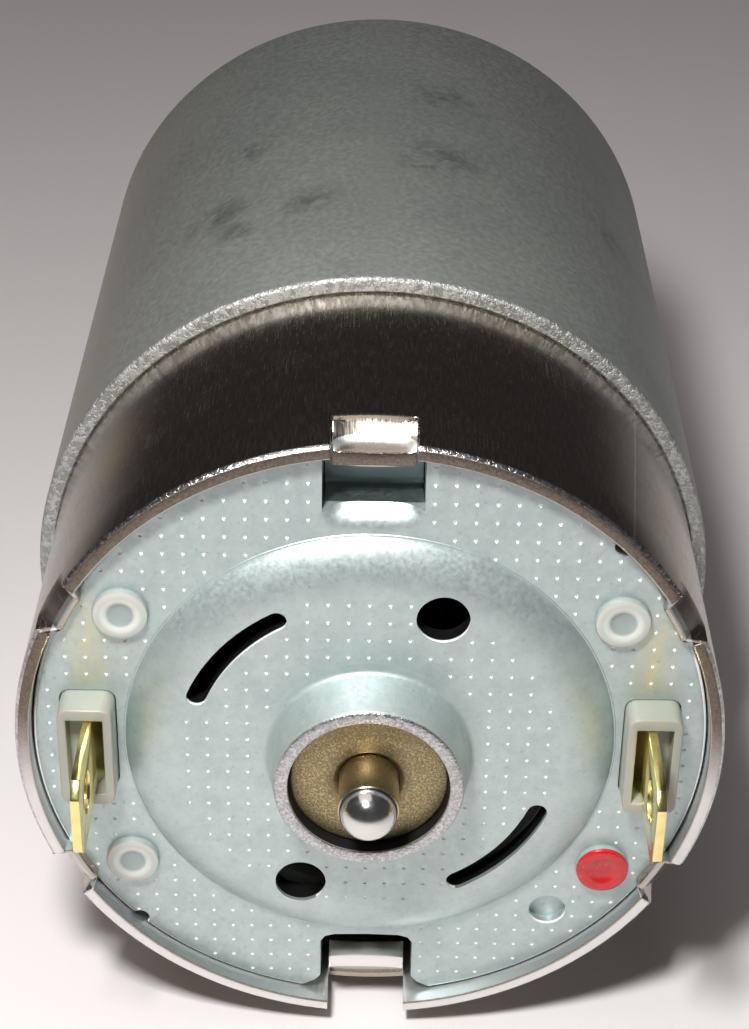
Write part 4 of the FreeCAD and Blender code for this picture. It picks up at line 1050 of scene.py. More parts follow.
@dataclass
class Can:
    """The drawn steel can with its pilot boss, crimps and two locking tabs.

    The profiles of a crimp give radius and distance behind the rim, and those of a
    locking tab give distance behind the rim and height.
    """

    radius: float = CAN_RADIUS
    bore: float = CAN_BORE
    wall: float = 0.8
    pilot_radius: float = 6.5
    pilot_length: float = 4.5
    pilot_bore: float = 5.7
    shaft_hole: float = 2.6
    screw_spread: float = 25.0
    screw_bore: float = 1.25
    vent_track: float = 12.4
    vent_width: float = 3.0
    vent_sweep: float = 62.0
    lock_width: float = 4.3
    lock_slit: float = 0.05
    lock_root: float = 3.1
    lock_guard: float = 0.25
    lock_cut: Spot = (17, 20)
    lock_flat: float = 0.55
    lock_spans: tuple[Spot, Spot, Spot] = ((0, 2.8), (2.8, 4), (1.7, 2.9))
    lock_bow: float = 0.1
    crimp_angle: float = 28.1
    crimp_sweep: float = 9.7
    crimp_depth: float = 1.75
    crimp_cut: Spot = (17.5, 20)
    front_cut: Spot = (-2, 1)
    crimp_steps: int = 7
    crimp_bent: tuple[Spot, ...] = (
        (CAN_RADIUS, 1.75), (18.99, 1.52), (18.84, 1.27), (18.16, 0.40), (18.09, 0.29), (17.99, 0.25),
        (17.80, 0.30), (17.72, 0.40), (17.70, 0.85), (18.00, 1.40), (CAN_BORE, 1.75),
    )
    crimp_straight: tuple[Spot, ...] = (
        (CAN_RADIUS, 1.75), (CAN_RADIUS, 1.50), (CAN_RADIUS, 1.20), (CAN_RADIUS, 0.35), (19.02, 0.12), (18.85, 0.0),
        (18.40, 0.0), (18.27, 0.05), (CAN_BORE, 0.60), (CAN_BORE, 1.30), (CAN_BORE, 1.75),
    )
    upper_lock: tuple[Spot, ...] = (
        (3.6, 19.04), (3.3, 19.04), (3.1, 18.99), (2.9, 18.88), (2.75, 18.77), (2.6, 18.63), (2.45, 18.46),
        (2.3, 18.28), (2.15, 18.14), (1.95, 18.02), (1.7, 17.92), (1.4, 17.84), (1.4, 17.04), (1.9, 17.1),
        (2.2, 17.28), (2.5, 17.55), (3.0, 18.05), (3.6, 18.24),
    )
    lower_lock: tuple[Spot, ...] = (
        (3.6, 19.02), (3.3, 18.98), (3.1, 18.75), (2.75, 17.8), (2.5, 17.25), (2.2, 16.95), (1.5, 16.85),
        (1.5, 16.0), (2.6, 16.0), (2.95, 16.15), (3.2, 16.55), (3.45, 17.4), (3.6, 18.24),
    )
    lock_shares: tuple[float, ...] = (-1, -0.88, -0.7, -0.4, 0, 0.4, 0.7, 0.88, 1)
    steps: int = 240

    def wall_shell(self) -> bpy.types.Object:
        """Turn the cup with its pilot boss and round its edges.

        A ring of corners just in front of the tabs' roots keeps the shading of the wall even.

        Returns:
            The shell.
        """
        guard = RIM + self.lock_root + self.lock_guard
        shell = Bench.turned((
            (self.radius, RIM), (self.radius, guard), (self.radius, 0), (self.pilot_radius, 0),
            (self.pilot_radius, self.pilot_length), (self.shaft_hole, self.pilot_length),
            (self.shaft_hole, self.pilot_length - self.wall),
            (self.pilot_bore, self.pilot_length - self.wall), (self.pilot_bore, -self.wall),
            (self.bore, -self.wall), (self.bore, guard), (self.bore, RIM),
        ), self.steps)
        for radius, along, width, rows in (
            (self.radius, 0, 2.0, 8), (self.bore, -self.wall, 1.2, 4),
            (self.pilot_radius, 0, 0.5, 4), (self.pilot_radius, self.pilot_length, 0.6, 5),
            (self.shaft_hole, self.pilot_length, 0.1, 2),
            (self.radius, RIM, 0.34, 5), (self.bore, RIM, 0.08, 2),
        ):
            Bench.ease(shell, radius, along, width, rows)
        return shell

    def crimp(self) -> bpy.types.Object:
        """The lip of wall that is bent in over the end plate; its ends stay with the wall.

        Returns:
            The lip, with its middle on the +X axis.
        """
        piece = Bench.draw([Vector((radius, RIM + along, 0)) for radius, along in self.crimp_bent])
        bpy.ops.mesh.edge_face_add()
        bpy.ops.mesh.spin(
            steps=self.crimp_steps, angle=math.radians(self.crimp_sweep), center=(0, 0, 0), axis=(0, 1, 0),
        )
        Bench.tidy_mesh()
        turns = sorted({round(math.atan2(corner.co.z, corner.co.x), 4) for corner in piece.data.vertices}, key=abs)
        for turn in (turns[0], turns[-1]):
            ray = Vector((math.cos(turn), 0, math.sin(turn)))
            for (radius, along), (far, level) in zip(self.crimp_bent, self.crimp_straight):
                spot = ray * radius + Vector((0, RIM + along, 0))
                move = ray * (far - radius) + Vector((0, level - along, 0))
                Bench.nudge(piece, lambda corner, spot=spot: (corner - spot).length < 0.02, move)
        Bench.clear()
        return Bench.swing(piece, (turns[0] + turns[-1]) / 2)

    def crimps(self, angles: Sequence[float]) -> list[bpy.types.Object]:
        """Copy the crimp to its places.

        Args:
            angles: The angles of the crimps' middles, in degrees.

        Returns:
            The crimps.
        """
        first = self.crimp()
        copies = [Bench.swing(Bench.copy(first), -math.radians(angle)) for angle in angles]
        bpy.data.objects.remove(first)
        return copies

    @staticmethod
    def on_line(across: float, near: float, far: float) -> Callable[[Vector], bool]:
        """A test for the corners of a tab at one place across, between two distances behind the rim."""
        return lambda spot: abs(spot.x - across) < 0.01 and RIM + near < spot.y < RIM + far

    def lock(self, up: int) -> bpy.types.Object:
        """A locking tab, pushed inwards from the wall and dished by the punch.

        Args:
            up: 1 for the tab above the shaft, -1 for the one below.

        Returns:
            The tab.
        """
        profile = self.upper_lock if up == 1 else self.lower_lock
        half = self.lock_width / 2
        outline = [(RIM + along, up * height) for along, height in profile]
        tab = Bench.plank(outline, [half * share for share in self.lock_shares])
        for share in self.lock_shares:
            across = half * share
            sag = self.lock_bow * (1 - share * share)
            lift = max(0.0, abs(share) - self.lock_flat) ** 2
            curve = self.radius - math.sqrt(self.radius ** 2 - across ** 2)
            for (near, far), shift in zip(self.lock_spans, (-sag, -curve, lift)):
                Bench.nudge(tab, self.on_line(across, near, far), Vector((0, 0, up * shift)))
        Bench.clear()
        Bench.soften(tab, 0.05, 2, 50)
        return tab

    def build(self, material: bpy.types.Material) -> None:
        """Build the can and hang it on the stator.

        Args:
            material: Its finish.
        """
        shell = self.wall_shell()
        half_lock = self.lock_width / 2 + self.lock_slit
        low, high = self.lock_cut
        cutters = [
            Bench.slab(oblong(-half_lock, half_lock, up * low, up * high), RIM - 1, RIM + self.lock_root)
            for up in (1, -1)
        ]
        crimp_angles = (self.crimp_angle, 180 - self.crimp_angle, 180 + self.crimp_angle, -self.crimp_angle)
        cutters += [
            Bench.peg(self.screw_bore, *self.front_cut, (side * self.screw_spread / 2, 0), 32) for side in (-1, 1)
        ]
        for middle in (90, 270):
            half = self.vent_width / 2
            radii = (self.vent_track - half, self.vent_track + half)
            cutters.append(Bench.sector(middle, self.vent_sweep, radii, *self.front_cut))
            for end in (-0.5, 0.5):
                spot = polar(self.vent_track, middle + self.vent_sweep * end)
                cutters.append(Bench.peg(half, *self.front_cut, spot, 32))
        for cutter in cutters:
            Bench.combine(shell, cutter, "DIFFERENCE")
        Bench.soften(shell, 0.05, 2, 60)
        for angle in crimp_angles:
            gap = Bench.sector(angle, self.crimp_sweep, self.crimp_cut, RIM - 1, RIM + self.crimp_depth)
            Bench.combine(shell, gap, "DIFFERENCE")
        crimps = self.crimps(crimp_angles)
        locks = [self.lock(up) for up in (1, -1)]
        piece = Bench.join([shell, *crimps, *locks])
        Bench.ready(piece, "motor_can", Body.STATOR, material, ["can"], "zinc_steel_dark", 28)


@dataclass
class FluxRing:
    """The rolled ring over the can, with bevelled edges and an open seam."""

    inner: float = CAN_RADIUS
    outer: float = 20.0
    rear: float = -45.5
    front: float = -2.5
    bevel: float = 0.3
    seam_angle: float = -62.0
    seam_sweep: float = 1.1
    seam_cut: Spot = (18, 22)
    steps: int = 240

    def build(self, material: bpy.types.Material) -> None:
        """Build the ring and hang it on the stator.

        Args:
            material: Its finish.
        """
        ring = Bench.turned((
            (self.inner + 0.01, self.rear + 0.12), (self.inner + 0.13, self.rear), (self.outer, self.rear),
            (self.outer, self.front), (self.inner + 0.13, self.front), (self.inner + 0.01, self.front - 0.12),
        ), self.steps)
        for along in (self.rear, self.front):
            Bench.ease(ring, self.outer, along, self.bevel, 3)
        seam = Bench.sector(self.seam_angle, self.seam_sweep, self.seam_cut, self.rear - 1, self.front + 1)
        Bench.combine(ring, seam, "DIFFERENCE")
        Bench.ready(ring, "motor_ring", Body.STATOR, material, ["flux_ring"], "zinc_steel")


@dataclass
class EndPlate:
    """The pressed rear end plate with its dimpled faces, vents, notches and boss.

    The profile of the lip gives distance behind the rim and height. A dimple band
    gives the level of a flat and the radii that its dimples lie between.
    """

    radius: float = 18.15
    face: float = RIM + 0.9
    back: float = RIM + 2.1
    plateau_face: float = RIM - 0.3
    plateau_back: float = RIM + 0.9
    slope_foot: float = 13.15
    slope_top: float = 10.34
    slope_arc: float = 4.2
    slope_angle: float = 42.0
    bead: float = 0.04
    roll_start: float = 13.35
    roll_radius: float = 1.3
    roll_slope: float = 50.0
    roll_half: float = 2.6
    roll_end: float = 15.5
    roll_step: float = 0.15
    roll_rows: int = 14
    roll_room: Spot = (3.9, 12.6)
    fall_step: float = 0.012
    fall_steps: int = 130
    roll_columns: tuple[float, ...] = (-2.6, -2.4, -2.1, -1.7, -1.2, -0.6, 0.6, 1.2, 1.7, 2.1, 2.4, 2.6)
    crease: float = 5.95
    crease_rise: float = 0.035
    boss_foot: float = 5.5
    boss_radius: float = 5.0
    boss_face: float = RIM - 3.2
    seat: float = 4.28
    vent_bore: float = 1.4
    vent_track: float = 9.6
    vent_angle: float = 67.3
    slot_track: float = 9.9
    slot_width: float = 1.1
    slot_start: float = 119.8
    slot_sweep: float = 38.3
    post_track: float = 15.49
    post_angle: float = 32.26
    post_bore: float = 1.05
    pit_track: float = 15.5
    pit_angle: float = -48.7
    pit_bore: float = 1.05
    pit_depth: float = 0.7
    edge_angle: float = 44.7
    edge_cut: float = 0.55
    dimple_pitch: Spot = (1.07, 1.09)
    dimple_size: float = 0.26
    dimple_depth: float = 0.12
    dimple_shift: Spot = (-0.12, -0.11)
    dimple_rows: int = 35
    dimple_sides: int = 8
    dimple_bands: tuple[tuple[float, float, float], ...] = ((plateau_face, 6.2, 10.35), (face, 13.42, 17.75))
    notch_room: Spot = (2.9, 13.7)
    collar_room: tuple[float, float, float] = (13.3, 17.0, 3.5)
    head_room: float = 1.75
    pit_room: float = 1.35
    vent_room: float = 1.7
    slot_room: Spot = (0.8, 4.0)
    through: Spot = (RIM - 2, RIM + 3)
    notch_half: float = 2.625
    notch_mouth: float = 3.85
    upper_notch: float = 14.7
    lower_notch: float = 13.7
    lower_notch_side: float = 14.3
    lip_half: float = 2.55
    lip: tuple[Spot, ...] = (
        (1.70, 14.64), (3.60, 14.66), (3.74, 14.69), (3.84, 14.77), (3.90, 14.90), (4.00, 16.90),
        (4.25, 16.90), (4.25, 14.40), (1.70, 14.40),
    )
    steps: int = 240

    def blank(self) -> bpy.types.Object:
        """Turn the plate with its raised middle and boss, and round its bends.

        Returns:
            The plate before it is pierced.
        """
        slope = [
            (
                self.slope_top + self.slope_arc * math.sin(math.radians(self.slope_angle * step / 10)),
                self.plateau_face + self.slope_arc * (1 - math.cos(math.radians(self.slope_angle * step / 10))),
            )
            for step in range(10, -1, -1)
        ]
        foot = self.plateau_face - self.crease_rise
        plate = Bench.turned((
            (self.radius, self.back), (self.radius, self.face), (self.slope_foot + 0.14, self.face),
            (self.slope_foot + 0.10, self.face - self.bead), (self.slope_foot + 0.03, self.face - self.bead), *slope,
            (self.crease + 0.15, self.plateau_face), (self.crease + 0.05, self.plateau_face),
            (self.crease - 0.05, foot), (self.boss_foot, foot),
            (self.boss_radius, self.boss_face), (self.seat, self.boss_face),
            (self.seat, self.plateau_back), (self.slope_top, self.plateau_back), (self.slope_foot, self.back),
        ), self.steps)
        for radius, along, width, rows in (
            (self.radius, self.face, 0.25, 4), (self.boss_foot, foot, 0.25, 5),
            (self.boss_radius, self.boss_face, 0.2, 4), (self.seat, self.boss_face, 0.1, 2),
        ):
            Bench.ease(plate, radius, along, width, rows)
        return plate

    def roll_notch_edge(self, plate: bpy.types.Object) -> None:
        """Roll the face back where the upper notch will be cut.

        Args:
            plate: The plate before it is pierced.
        """
        def on_face(spot: Vector) -> bool:
            """Whether a corner lies on the flat face."""
            return abs(spot.y - self.face) < 0.002

        def fall(spot: Vector) -> float:
            """How far a corner of the face falls back."""
            inside = abs(spot.x) <= self.roll_half and self.roll_start < spot.z < self.roll_end
            if not (on_face(spot) and inside):
                return 0.0
            rise = spot.z - self.roll_start
            steep = math.radians(self.roll_slope)
            bend = self.roll_radius * math.sin(steep)
            if rise < bend:
                depth = self.roll_radius - math.sqrt(self.roll_radius ** 2 - rise ** 2)
            else:
                depth = self.roll_radius * (1 - math.cos(steep)) + (rise - bend) * math.tan(steep)
            return depth * (1 - (spot.x / self.roll_half) ** 4)

        rows = [self.roll_start + self.roll_step * step for step in range(self.roll_rows)]
        width, level = self.roll_room
        for axis, places in ((Vector((0, 0, 1)), rows), (Vector((1, 0, 0)), self.roll_columns)):
            for place in places:
                Bench.pick(plate, Pick.FACES, lambda spot: on_face(spot) and abs(spot.x) < width and spot.z > level)
                bpy.ops.mesh.bisect(plane_co=axis * place * MM, plane_no=axis)
        for step in range(1, self.fall_steps):
            depth = step * self.fall_step
            Bench.nudge(plate, lambda spot: abs(fall(spot) - depth) <= self.fall_step / 2, Vector((0, depth, 0)))
        Bench.clear()

    def inner_lip(self) -> bpy.types.Object:
        """The lip that runs inwards from the upper notch and turns up at its end.

        Returns:
            The lip.
        """
        return Bench.plank([(RIM + along, up) for along, up in self.lip], (-self.lip_half, self.lip_half))

    def arc_slot(self, turn: float) -> bpy.types.Object:
        """The cutter of a curved vent with round ends.

        Args:
            turn: How far round it lies, in degrees.

        Returns:
            The cutter.
        """
        half = self.slot_width / 2
        start, sweep = self.slot_start + turn, self.slot_sweep
        outline: list[Spot] = []
        for side, angles in ((1, range(0, 13)), (-1, range(12, -1, -1))):
            outline += [polar(self.slot_track + side * half, start + sweep * step / 12) for step in angles]
            tip = polar(self.slot_track, start + (sweep if side == 1 else 0))
            lead = start + (sweep if side == 1 else 180)
            bend = [polar(half, lead + 180 * step / 8) for step in range(1, 8)]
            outline += [(tip[0] + x, tip[1] + z) for x, z in bend]
        return Bench.slab(outline, *self.through)

    def notch(self, up: int) -> bpy.types.Object:
        """The cutter of a notch that takes a locking tab.

        Args:
            up: 1 for the notch above the shaft, -1 for the one below.

        Returns:
            The cutter.
        """
        half, mouth, top = self.notch_half, self.notch_mouth, self.lower_notch
        if up == 1:
            return Bench.slab(oblong(-half, half, self.upper_notch, 19), RIM - 1, RIM + 3)
        side = self.lower_notch_side
        right = [
            (0, -top), (half - 0.8, -top - 0.05), (half - 0.25, -side + 0.38), (half, -side), (half, -16.9),
            (half + 0.35, -17.3), (mouth, -17.75), (mouth, -19),
        ]
        return Bench.slab([(-x, z) for x, z in reversed(right[1:])] + right, RIM - 1, RIM + 3)

    def dimples(self) -> bpy.types.Object:
        """The cutter of the pressed dimples: small blunt points on a grid.

        Returns:
            The cutter.
        """
        start = [
            shift - (self.dimple_rows - 1) / 2 * pitch for shift, pitch in zip(self.dimple_shift, self.dimple_pitch)
        ]
        rows = []
        for level, inner, outer in self.dimple_bands:
            Bench.clear()
            bpy.ops.mesh.primitive_cone_add(
                vertices=self.dimple_sides, radius1=self.dimple_size * MM, radius2=0, depth=self.dimple_depth * 2 * MM,
                rotation=(-math.pi / 2, 0, 0),
                location=(start[0] * MM, level * MM, start[1] * MM),
            )
            grid = bpy.context.object
            bpy.ops.object.transform_apply(location=True, rotation=True, scale=True)
            for axis, pitch in zip(((1, 0, 0), (0, 0, 1)), self.dimple_pitch):
                array = grid.modifiers.new("row", "ARRAY")
                array.count = self.dimple_rows
                array.use_relative_offset = False
                array.use_constant_offset = True
                array.constant_offset_displace = Vector(axis) * pitch * MM
                bpy.ops.object.modifier_apply(modifier=array.name)
            Bench.pick(
                grid, Pick.CORNERS,
                lambda spot: spot.y > level + self.dimple_depth / 2 and not self.dimple_room(spot, inner, outer),
            )
            bpy.ops.mesh.select_linked()
            bpy.ops.mesh.delete(type="VERT")
            bpy.ops.object.mode_set(mode="OBJECT")
            rows.append(grid)
        return Bench.join(rows)

    def dimple_room(self, spot: Vector, inner: float, outer: float) -> bool:
        """Whether the point of a dimple lies on a flat, clear of notches, collars, heads, pit and vents.

        Args:
            spot: The point's place.
            inner: The inner radius of the flat.
            outer: Its outer radius.

        Returns:
            True where the dimple may stay.
        """
        across, up = abs(spot.x), abs(spot.z)
        radius, angle = math.hypot(across, up), math.degrees(math.atan2(spot.z, spot.x)) % 180
        post, vent = polar(self.post_track, self.post_angle), polar(self.vent_track, self.vent_angle)
        pit = polar(self.pit_track, self.pit_angle)
        past = angle - self.slot_start
        near, far, high = self.collar_room
        beside, beyond = self.slot_room
        spoilt = (
            across < self.notch_room[0] and up > self.notch_room[1],
            near < across < far and up < high,
            math.dist((across, up), post) < self.head_room,
            math.dist((spot.x, spot.z), pit) < self.pit_room,
            math.dist((across, up), vent) < self.vent_room and spot.x * spot.z > 0,
            abs(radius - self.slot_track) < beside and -beyond < past < self.slot_sweep + beyond,
        )
        return inner < radius < outer and not any(spoilt)

    def build(self, material: bpy.types.Material) -> None:
        """Build the plate and hang it on the stator.

        Args:
            material: Its finish.
        """
        plate = self.blank()
        self.roll_notch_edge(plate)
        Bench.combine(plate, self.dimples(), "DIFFERENCE")
        cutters = [self.arc_slot(0), self.arc_slot(180), self.notch(1), self.notch(-1)]
        for turn in (0, 180):
            cutters.append(Bench.peg(self.vent_bore, *self.through, polar(self.vent_track, self.vent_angle + turn), 64))
            cutters.append(Bench.peg(self.edge_cut, *self.through, polar(self.radius, self.edge_angle + turn), 32))
        across, up = polar(self.post_track, self.post_angle)
        for side in (1, -1):
            cutters += [Bench.peg(self.post_bore, *self.through, (side * across, end * up), 32) for end in (1, -1)]
            cutters.append(TerminalCollar(side=side).window())
        pit = polar(self.pit_track, self.pit_angle)
        cutters.append(Bench.peg(self.pit_bore, RIM - 2, self.face + self.pit_depth, pit, 48))
        for cutter in cutters:
            Bench.combine(plate, cutter, "DIFFERENCE")
        plate = Bench.join([plate, self.inner_lip()])
        Bench.ready(plate, "end_plate_pressed", Body.STATOR, material, ["end_plate"], "zinc_steel_pale", 32)


@dataclass
class TerminalCollar:
    """A moulded collar that stands through the end plate round a terminal."""

    side: int
    middle: float = 15.12
    width: float = 2.95
    height: float = 6.3
    corner: float = 0.6
    draft: float = 0.02
    rise_face: float = RIM - 0.95
    foot: float = RIM + 2.5
    slit_width: float = 1.7
    slit_height: float = 4.86
    slit_shift: float = 0.12
    slit_depth: float = 1.1
    slot_inner: float = 14.15
    slot_outer: float = 15.28

    def outline(self, room: float, shift: float = 0) -> list[Spot]:
        """The rounded outline of the collar.

        Args:
            room: How far it is grown on every side.
            shift: How far its middle is moved sideways.

        Returns:
            The corners, all round.
        """
        spots: list[Spot] = []
        half_w, half_h = self.width / 2 + room, self.height / 2 + room
        for quarter, (sx, sz) in enumerate(((1, 1), (-1, 1), (-1, -1), (1, -1))):
            for step in range(5):
                angle = math.radians(90 * quarter + 90 * step / 4)
                spots.append((
                    self.side * self.middle + shift + sx * (half_w - self.corner) + self.corner * math.cos(angle),
                    sz * (half_h - self.corner) + self.corner * math.sin(angle),
                ))
        return spots

    def window(self) -> bpy.types.Object:
        """The cutter of the collar's window in the end plate."""
        return Bench.slab(self.outline(0.05), RIM - 2, RIM + 3)

    def build(self) -> bpy.types.Object:
        """Build the collar with its draft, rounded front edge and slit.

        Returns:
            The collar.
        """
        block = Bench.slab(self.outline(0), self.rise_face, self.foot)
        Bench.pick(block, Pick.FACES, lambda spot: abs(spot.y - self.rise_face) < 0.01)
        bpy.ops.transform.resize(
            value=(1 - self.draft, 1, 1), center_override=(self.side * self.middle * MM, 0, 0),
        )
        bpy.ops.object.mode_set(mode="OBJECT")
        half_w, half_h = self.slit_width / 2, self.slit_height / 2
        middle = self.side * (self.middle + self.slit_shift)
        near, far = self.side * self.slot_inner, self.side * self.slot_outer
        for left, right, end in (
            (middle - half_w, middle + half_w, self.rise_face + self.slit_depth), (near, far, self.foot + 1),
        ):
            slit = Bench.slab(oblong(left, right, -half_h, half_h), self.rise_face - 1, end)
            Bench.combine(block, slit, "DIFFERENCE")
        Bench.soften(block, 0.12, 3, 30)
        return block


@dataclass
class BrushCard:
    """The moulded card behind the end plate with its heads and collars."""

    bore: float = 10.95
    radius: float = 17.95
    rear: float = RIM + 2.1
    front: float = RIM + 5.1
    post_track: float = 15.49
    post_angle: float = 32.26
    post_radius: float = 1.0
    head_radius: float = 1.475
    head_seat: float = RIM + 0.9
    head_face: float = RIM + 0.4
    crater_radius: float = 0.78
    crater_depth: float = 0.2
    gap: float = 14.2

    def head(self, at: Spot) -> bpy.types.Object:
        """A post whose end is staked to a round head with a dent.

        Args:
            at: The place of the post, across and up.

        Returns:
            The head on its post.
        """
        ring = (self.head_radius + self.crater_radius) / 2
        return Bench.turned((
            (0, self.rear + 0.3), (self.post_radius, self.rear + 0.3), (self.post_radius, self.head_seat),
            (self.head_radius - 0.02, self.head_seat), (self.head_radius, self.head_seat - 0.06),
            (self.head_radius, self.head_face + 0.16), (self.head_radius - 0.05, self.head_face + 0.06),
            (self.head_radius - 0.17, self.head_face + 0.01), (ring, self.head_face),
            (self.crater_radius + 0.1, self.head_face + 0.02), (self.crater_radius, self.head_face + 0.06),
            (self.crater_radius - 0.16, self.head_face + 0.15),
            (self.crater_radius - 0.4, self.head_face + self.crater_depth),
            (0, self.head_face + self.crater_depth),
        ), 64, at)

    def places(self) -> list[Spot]:
        """The four places of the posts; the second is the lower right one."""
        across, up = polar(self.post_track, self.post_angle)
        return [(across, up), (across, -up), (-across, up), (-across, -up)]

    def build(self, nylon: bpy.types.Material, lacquer: bpy.types.Material) -> None:
        """Build the card and the red mark and hang them on the stator.

        Args:
            nylon: The finish of the card.
            lacquer: The finish of the mark.
        """
        card = Bench.turned(oblong(self.bore, self.radius, self.rear, self.front), 160)
        plate = EndPlate()
        for up in (1, -1):
            Bench.combine(card, plate.notch(up), "DIFFERENCE")
            half = plate.notch_half
            gap = Bench.slab(oblong(-half, half, up * self.gap, up * 19), self.rear - 0.5, self.front + 1)
            Bench.combine(card, gap, "DIFFERENCE")
        heads = [self.head(at) for at in self.places()]
        collars = [TerminalCollar(side=side).build() for side in (1, -1)]
        piece = Bench.join([card, *heads, *collars])
        Bench.ready(piece, "card_moulding", Body.STATOR, nylon, ["brush_card"], "nylon")
        mark = Bench.turned((
            (0, self.head_face + self.crater_depth + 0.02), (0.9, self.head_face + 0.1),
            (self.head_radius - 0.02, self.head_face + 0.2), (self.head_radius - 0.005, self.head_face + 0.1),
            (self.head_radius - 0.05, self.head_face - 0.05), (self.head_radius - 0.16, self.head_face - 0.11),
            (self.head_radius - 0.35, self.head_face - 0.12), (self.crater_radius + 0.12, self.head_face - 0.09),
            (self.crater_radius, self.head_face - 0.04), (self.crater_radius - 0.15, self.head_face + 0.05),
            (self.crater_radius - 0.4, self.head_face + 0.09), (0, self.head_face + 0.1),
        ), 64, self.places()[1])
        Bench.ready(mark, "red_mark", Body.STATOR, lacquer, ["polarity_mark"], "red_lacquer")


@dataclass
class Terminal:
    """A brass solder tab with a sideways step, cut corners and a hole."""

    side: int
    middle: float = 14.95
    sheet: float = 0.5
    half_height: float = 2.4
    tip: float = RIM - 6.6
    corner: float = 0.75
    hole_radius: float = 1.15
    hole_back: float = 2.8
    jog: float = 0.4
    jog_start: float = RIM - 0.1
    jog_end: float = RIM + 0.7
    card_front: float = RIM + 5.1
    foot_front: float = RIM + 5.6
    foot_end: float = 9.0

    def build(self, material: bpy.types.Material) -> None:
        """Build the terminal and hang it on the stator.

        Args:
            material: Its finish.
        """
        half = self.sheet / 2
        root = self.middle - self.jog
        outline = (
            (self.middle - half, self.tip), (self.middle + half, self.tip),
            (self.middle + half, self.jog_start), (root + half, self.jog_end),
            (root + half, self.foot_front), (self.foot_end, self.foot_front),
            (self.foot_end, self.card_front), (root - half, self.card_front),
            (root - half, self.jog_end), (self.middle - half, self.jog_start),
        )
        spots = [Vector((self.side * x, y, -self.half_height)) for x, y in outline]
        tab = Bench.draw(spots)
        bpy.ops.mesh.edge_face_add()
        bpy.ops.mesh.extrude_region_move(
            TRANSFORM_OT_translate={"value": (0, 0, 2 * self.half_height * MM)},
        )
        Bench.tidy_mesh()
        for up in (1, -1):
            Bench.pick(
                tab, Pick.EDGES,
                lambda spot: abs(spot.y - self.tip) < 0.01 and abs(spot.z - up * self.half_height) < 0.01,
            )
            bpy.ops.mesh.bevel(offset=self.corner * MM, segments=1, affect="EDGES")
        bpy.ops.object.mode_set(mode="OBJECT")
        Bench.clear()
        bpy.ops.mesh.primitive_cylinder_add(
            vertices=48, radius=self.hole_radius * MM, depth=4 * MM, rotation=(0, math.pi / 2, 0),
            location=(self.side * self.middle * MM, (self.tip + self.hole_back) * MM, 0),
        )
        drill = bpy.context.object
        bpy.ops.object.transform_apply(location=True, rotation=True, scale=True)
        Bench.combine(tab, drill, "DIFFERENCE")
        Bench.soften(tab, 0.05, 2, 30)
        name = "right" if self.side == 1 else "left"
        Bench.ready(tab, f"tab_{name}", Body.STATOR, material, [f"terminal_{name}"], "brass")


@dataclass
class RearBearing:
    """The sintered bearing in the boss, with a coned face and a chamfered bore."""

    bore: float = 1.6075
    lead: float = 0.25
    face: float = RIM - 2.4
    cone: float = 0.06
    brow: float = 4.2
    groove: float = 0.15
    seat: float = 4.28
    neck: float = 3.3
    neck_place: float = RIM + 0.9
    end: float = RIM + 1.9

    def build(self, material: bpy.types.Material) -> None:
        """Build the bearing and hang it on the stator.

        Args:
            material: Its finish.
        """
        shoulder = self.face + self.cone
        bearing = Bench.turned((
            (self.bore, self.face + self.lead), (self.bore + self.lead, self.face), (self.brow, shoulder),
            (self.brow, shoulder + self.groove), (self.seat, shoulder + self.groove),
            (self.seat, self.neck_place), (self.neck, self.neck_place), (self.neck, self.end),
            (self.bore, self.end),
        ), 128)
        for radius, along, width in (
            (self.bore + self.lead, self.face, 0.06), (self.brow, shoulder, 0.12),
            (self.bore, self.face + self.lead, 0.05),
        ):
            Bench.ease(bearing, radius, along, width, 3)
        Bench.ready(bearing, "bearing_rear", Body.STATOR, material, ["rear_bearing"], "sintered_bronze")


@dataclass
class Shaft:
    """The ground shaft with its domed tail, ring groove and chamfered end."""

    radius: float = 1.5875
    tip: float = RIM - 6.45
    dome: float = 1.5
    edge: float = 0.05
    groove_start: float = 4.9
    groove_end: float = 5.6
    groove_depth: float = 0.2
    end: float = 16.0
    chamfer: float = 0.3

    def build(self, material: bpy.types.Material) -> None:
        """Build the shaft and hang it on the rotor.

        Args:
            material: Its finish.
        """
        rim = self.radius - self.edge
        ball = (rim * rim + self.dome * self.dome) / (2 * self.dome)
        sweep = math.asin(rim / ball)
        outline = [
            (ball * math.sin(sweep * step / 24), self.tip + ball - ball * math.cos(sweep * step / 24))
            for step in range(25)
        ]
        outline[0] = (0, self.tip)
        low = self.radius - self.groove_depth
        outline += [
            (self.radius, self.tip + self.dome + self.edge), (self.radius, self.groove_start),
            (low, self.groove_start), (low, self.groove_end), (self.radius, self.groove_end),
            (self.radius, self.end - self.chamfer), (self.radius - self.chamfer, self.end), (0, self.end),
        ]
        shaft = Bench.turned(outline, 128)
        Bench.ready(shaft, "shaft_ground", Body.ROTOR, material, ["shaft"], "polished_steel", 28)


def dress_solids(nodes: Sequence[str], material: bpy.types.Material) -> None:
    """Give a finish to solids that stay as they are.

    Args:
        nodes: Their names.
        material: The finish.
    """
    for node in nodes:
        slots = FRAME["nodes"][node].data.materials
        slots.clear()
        slots.append(material)


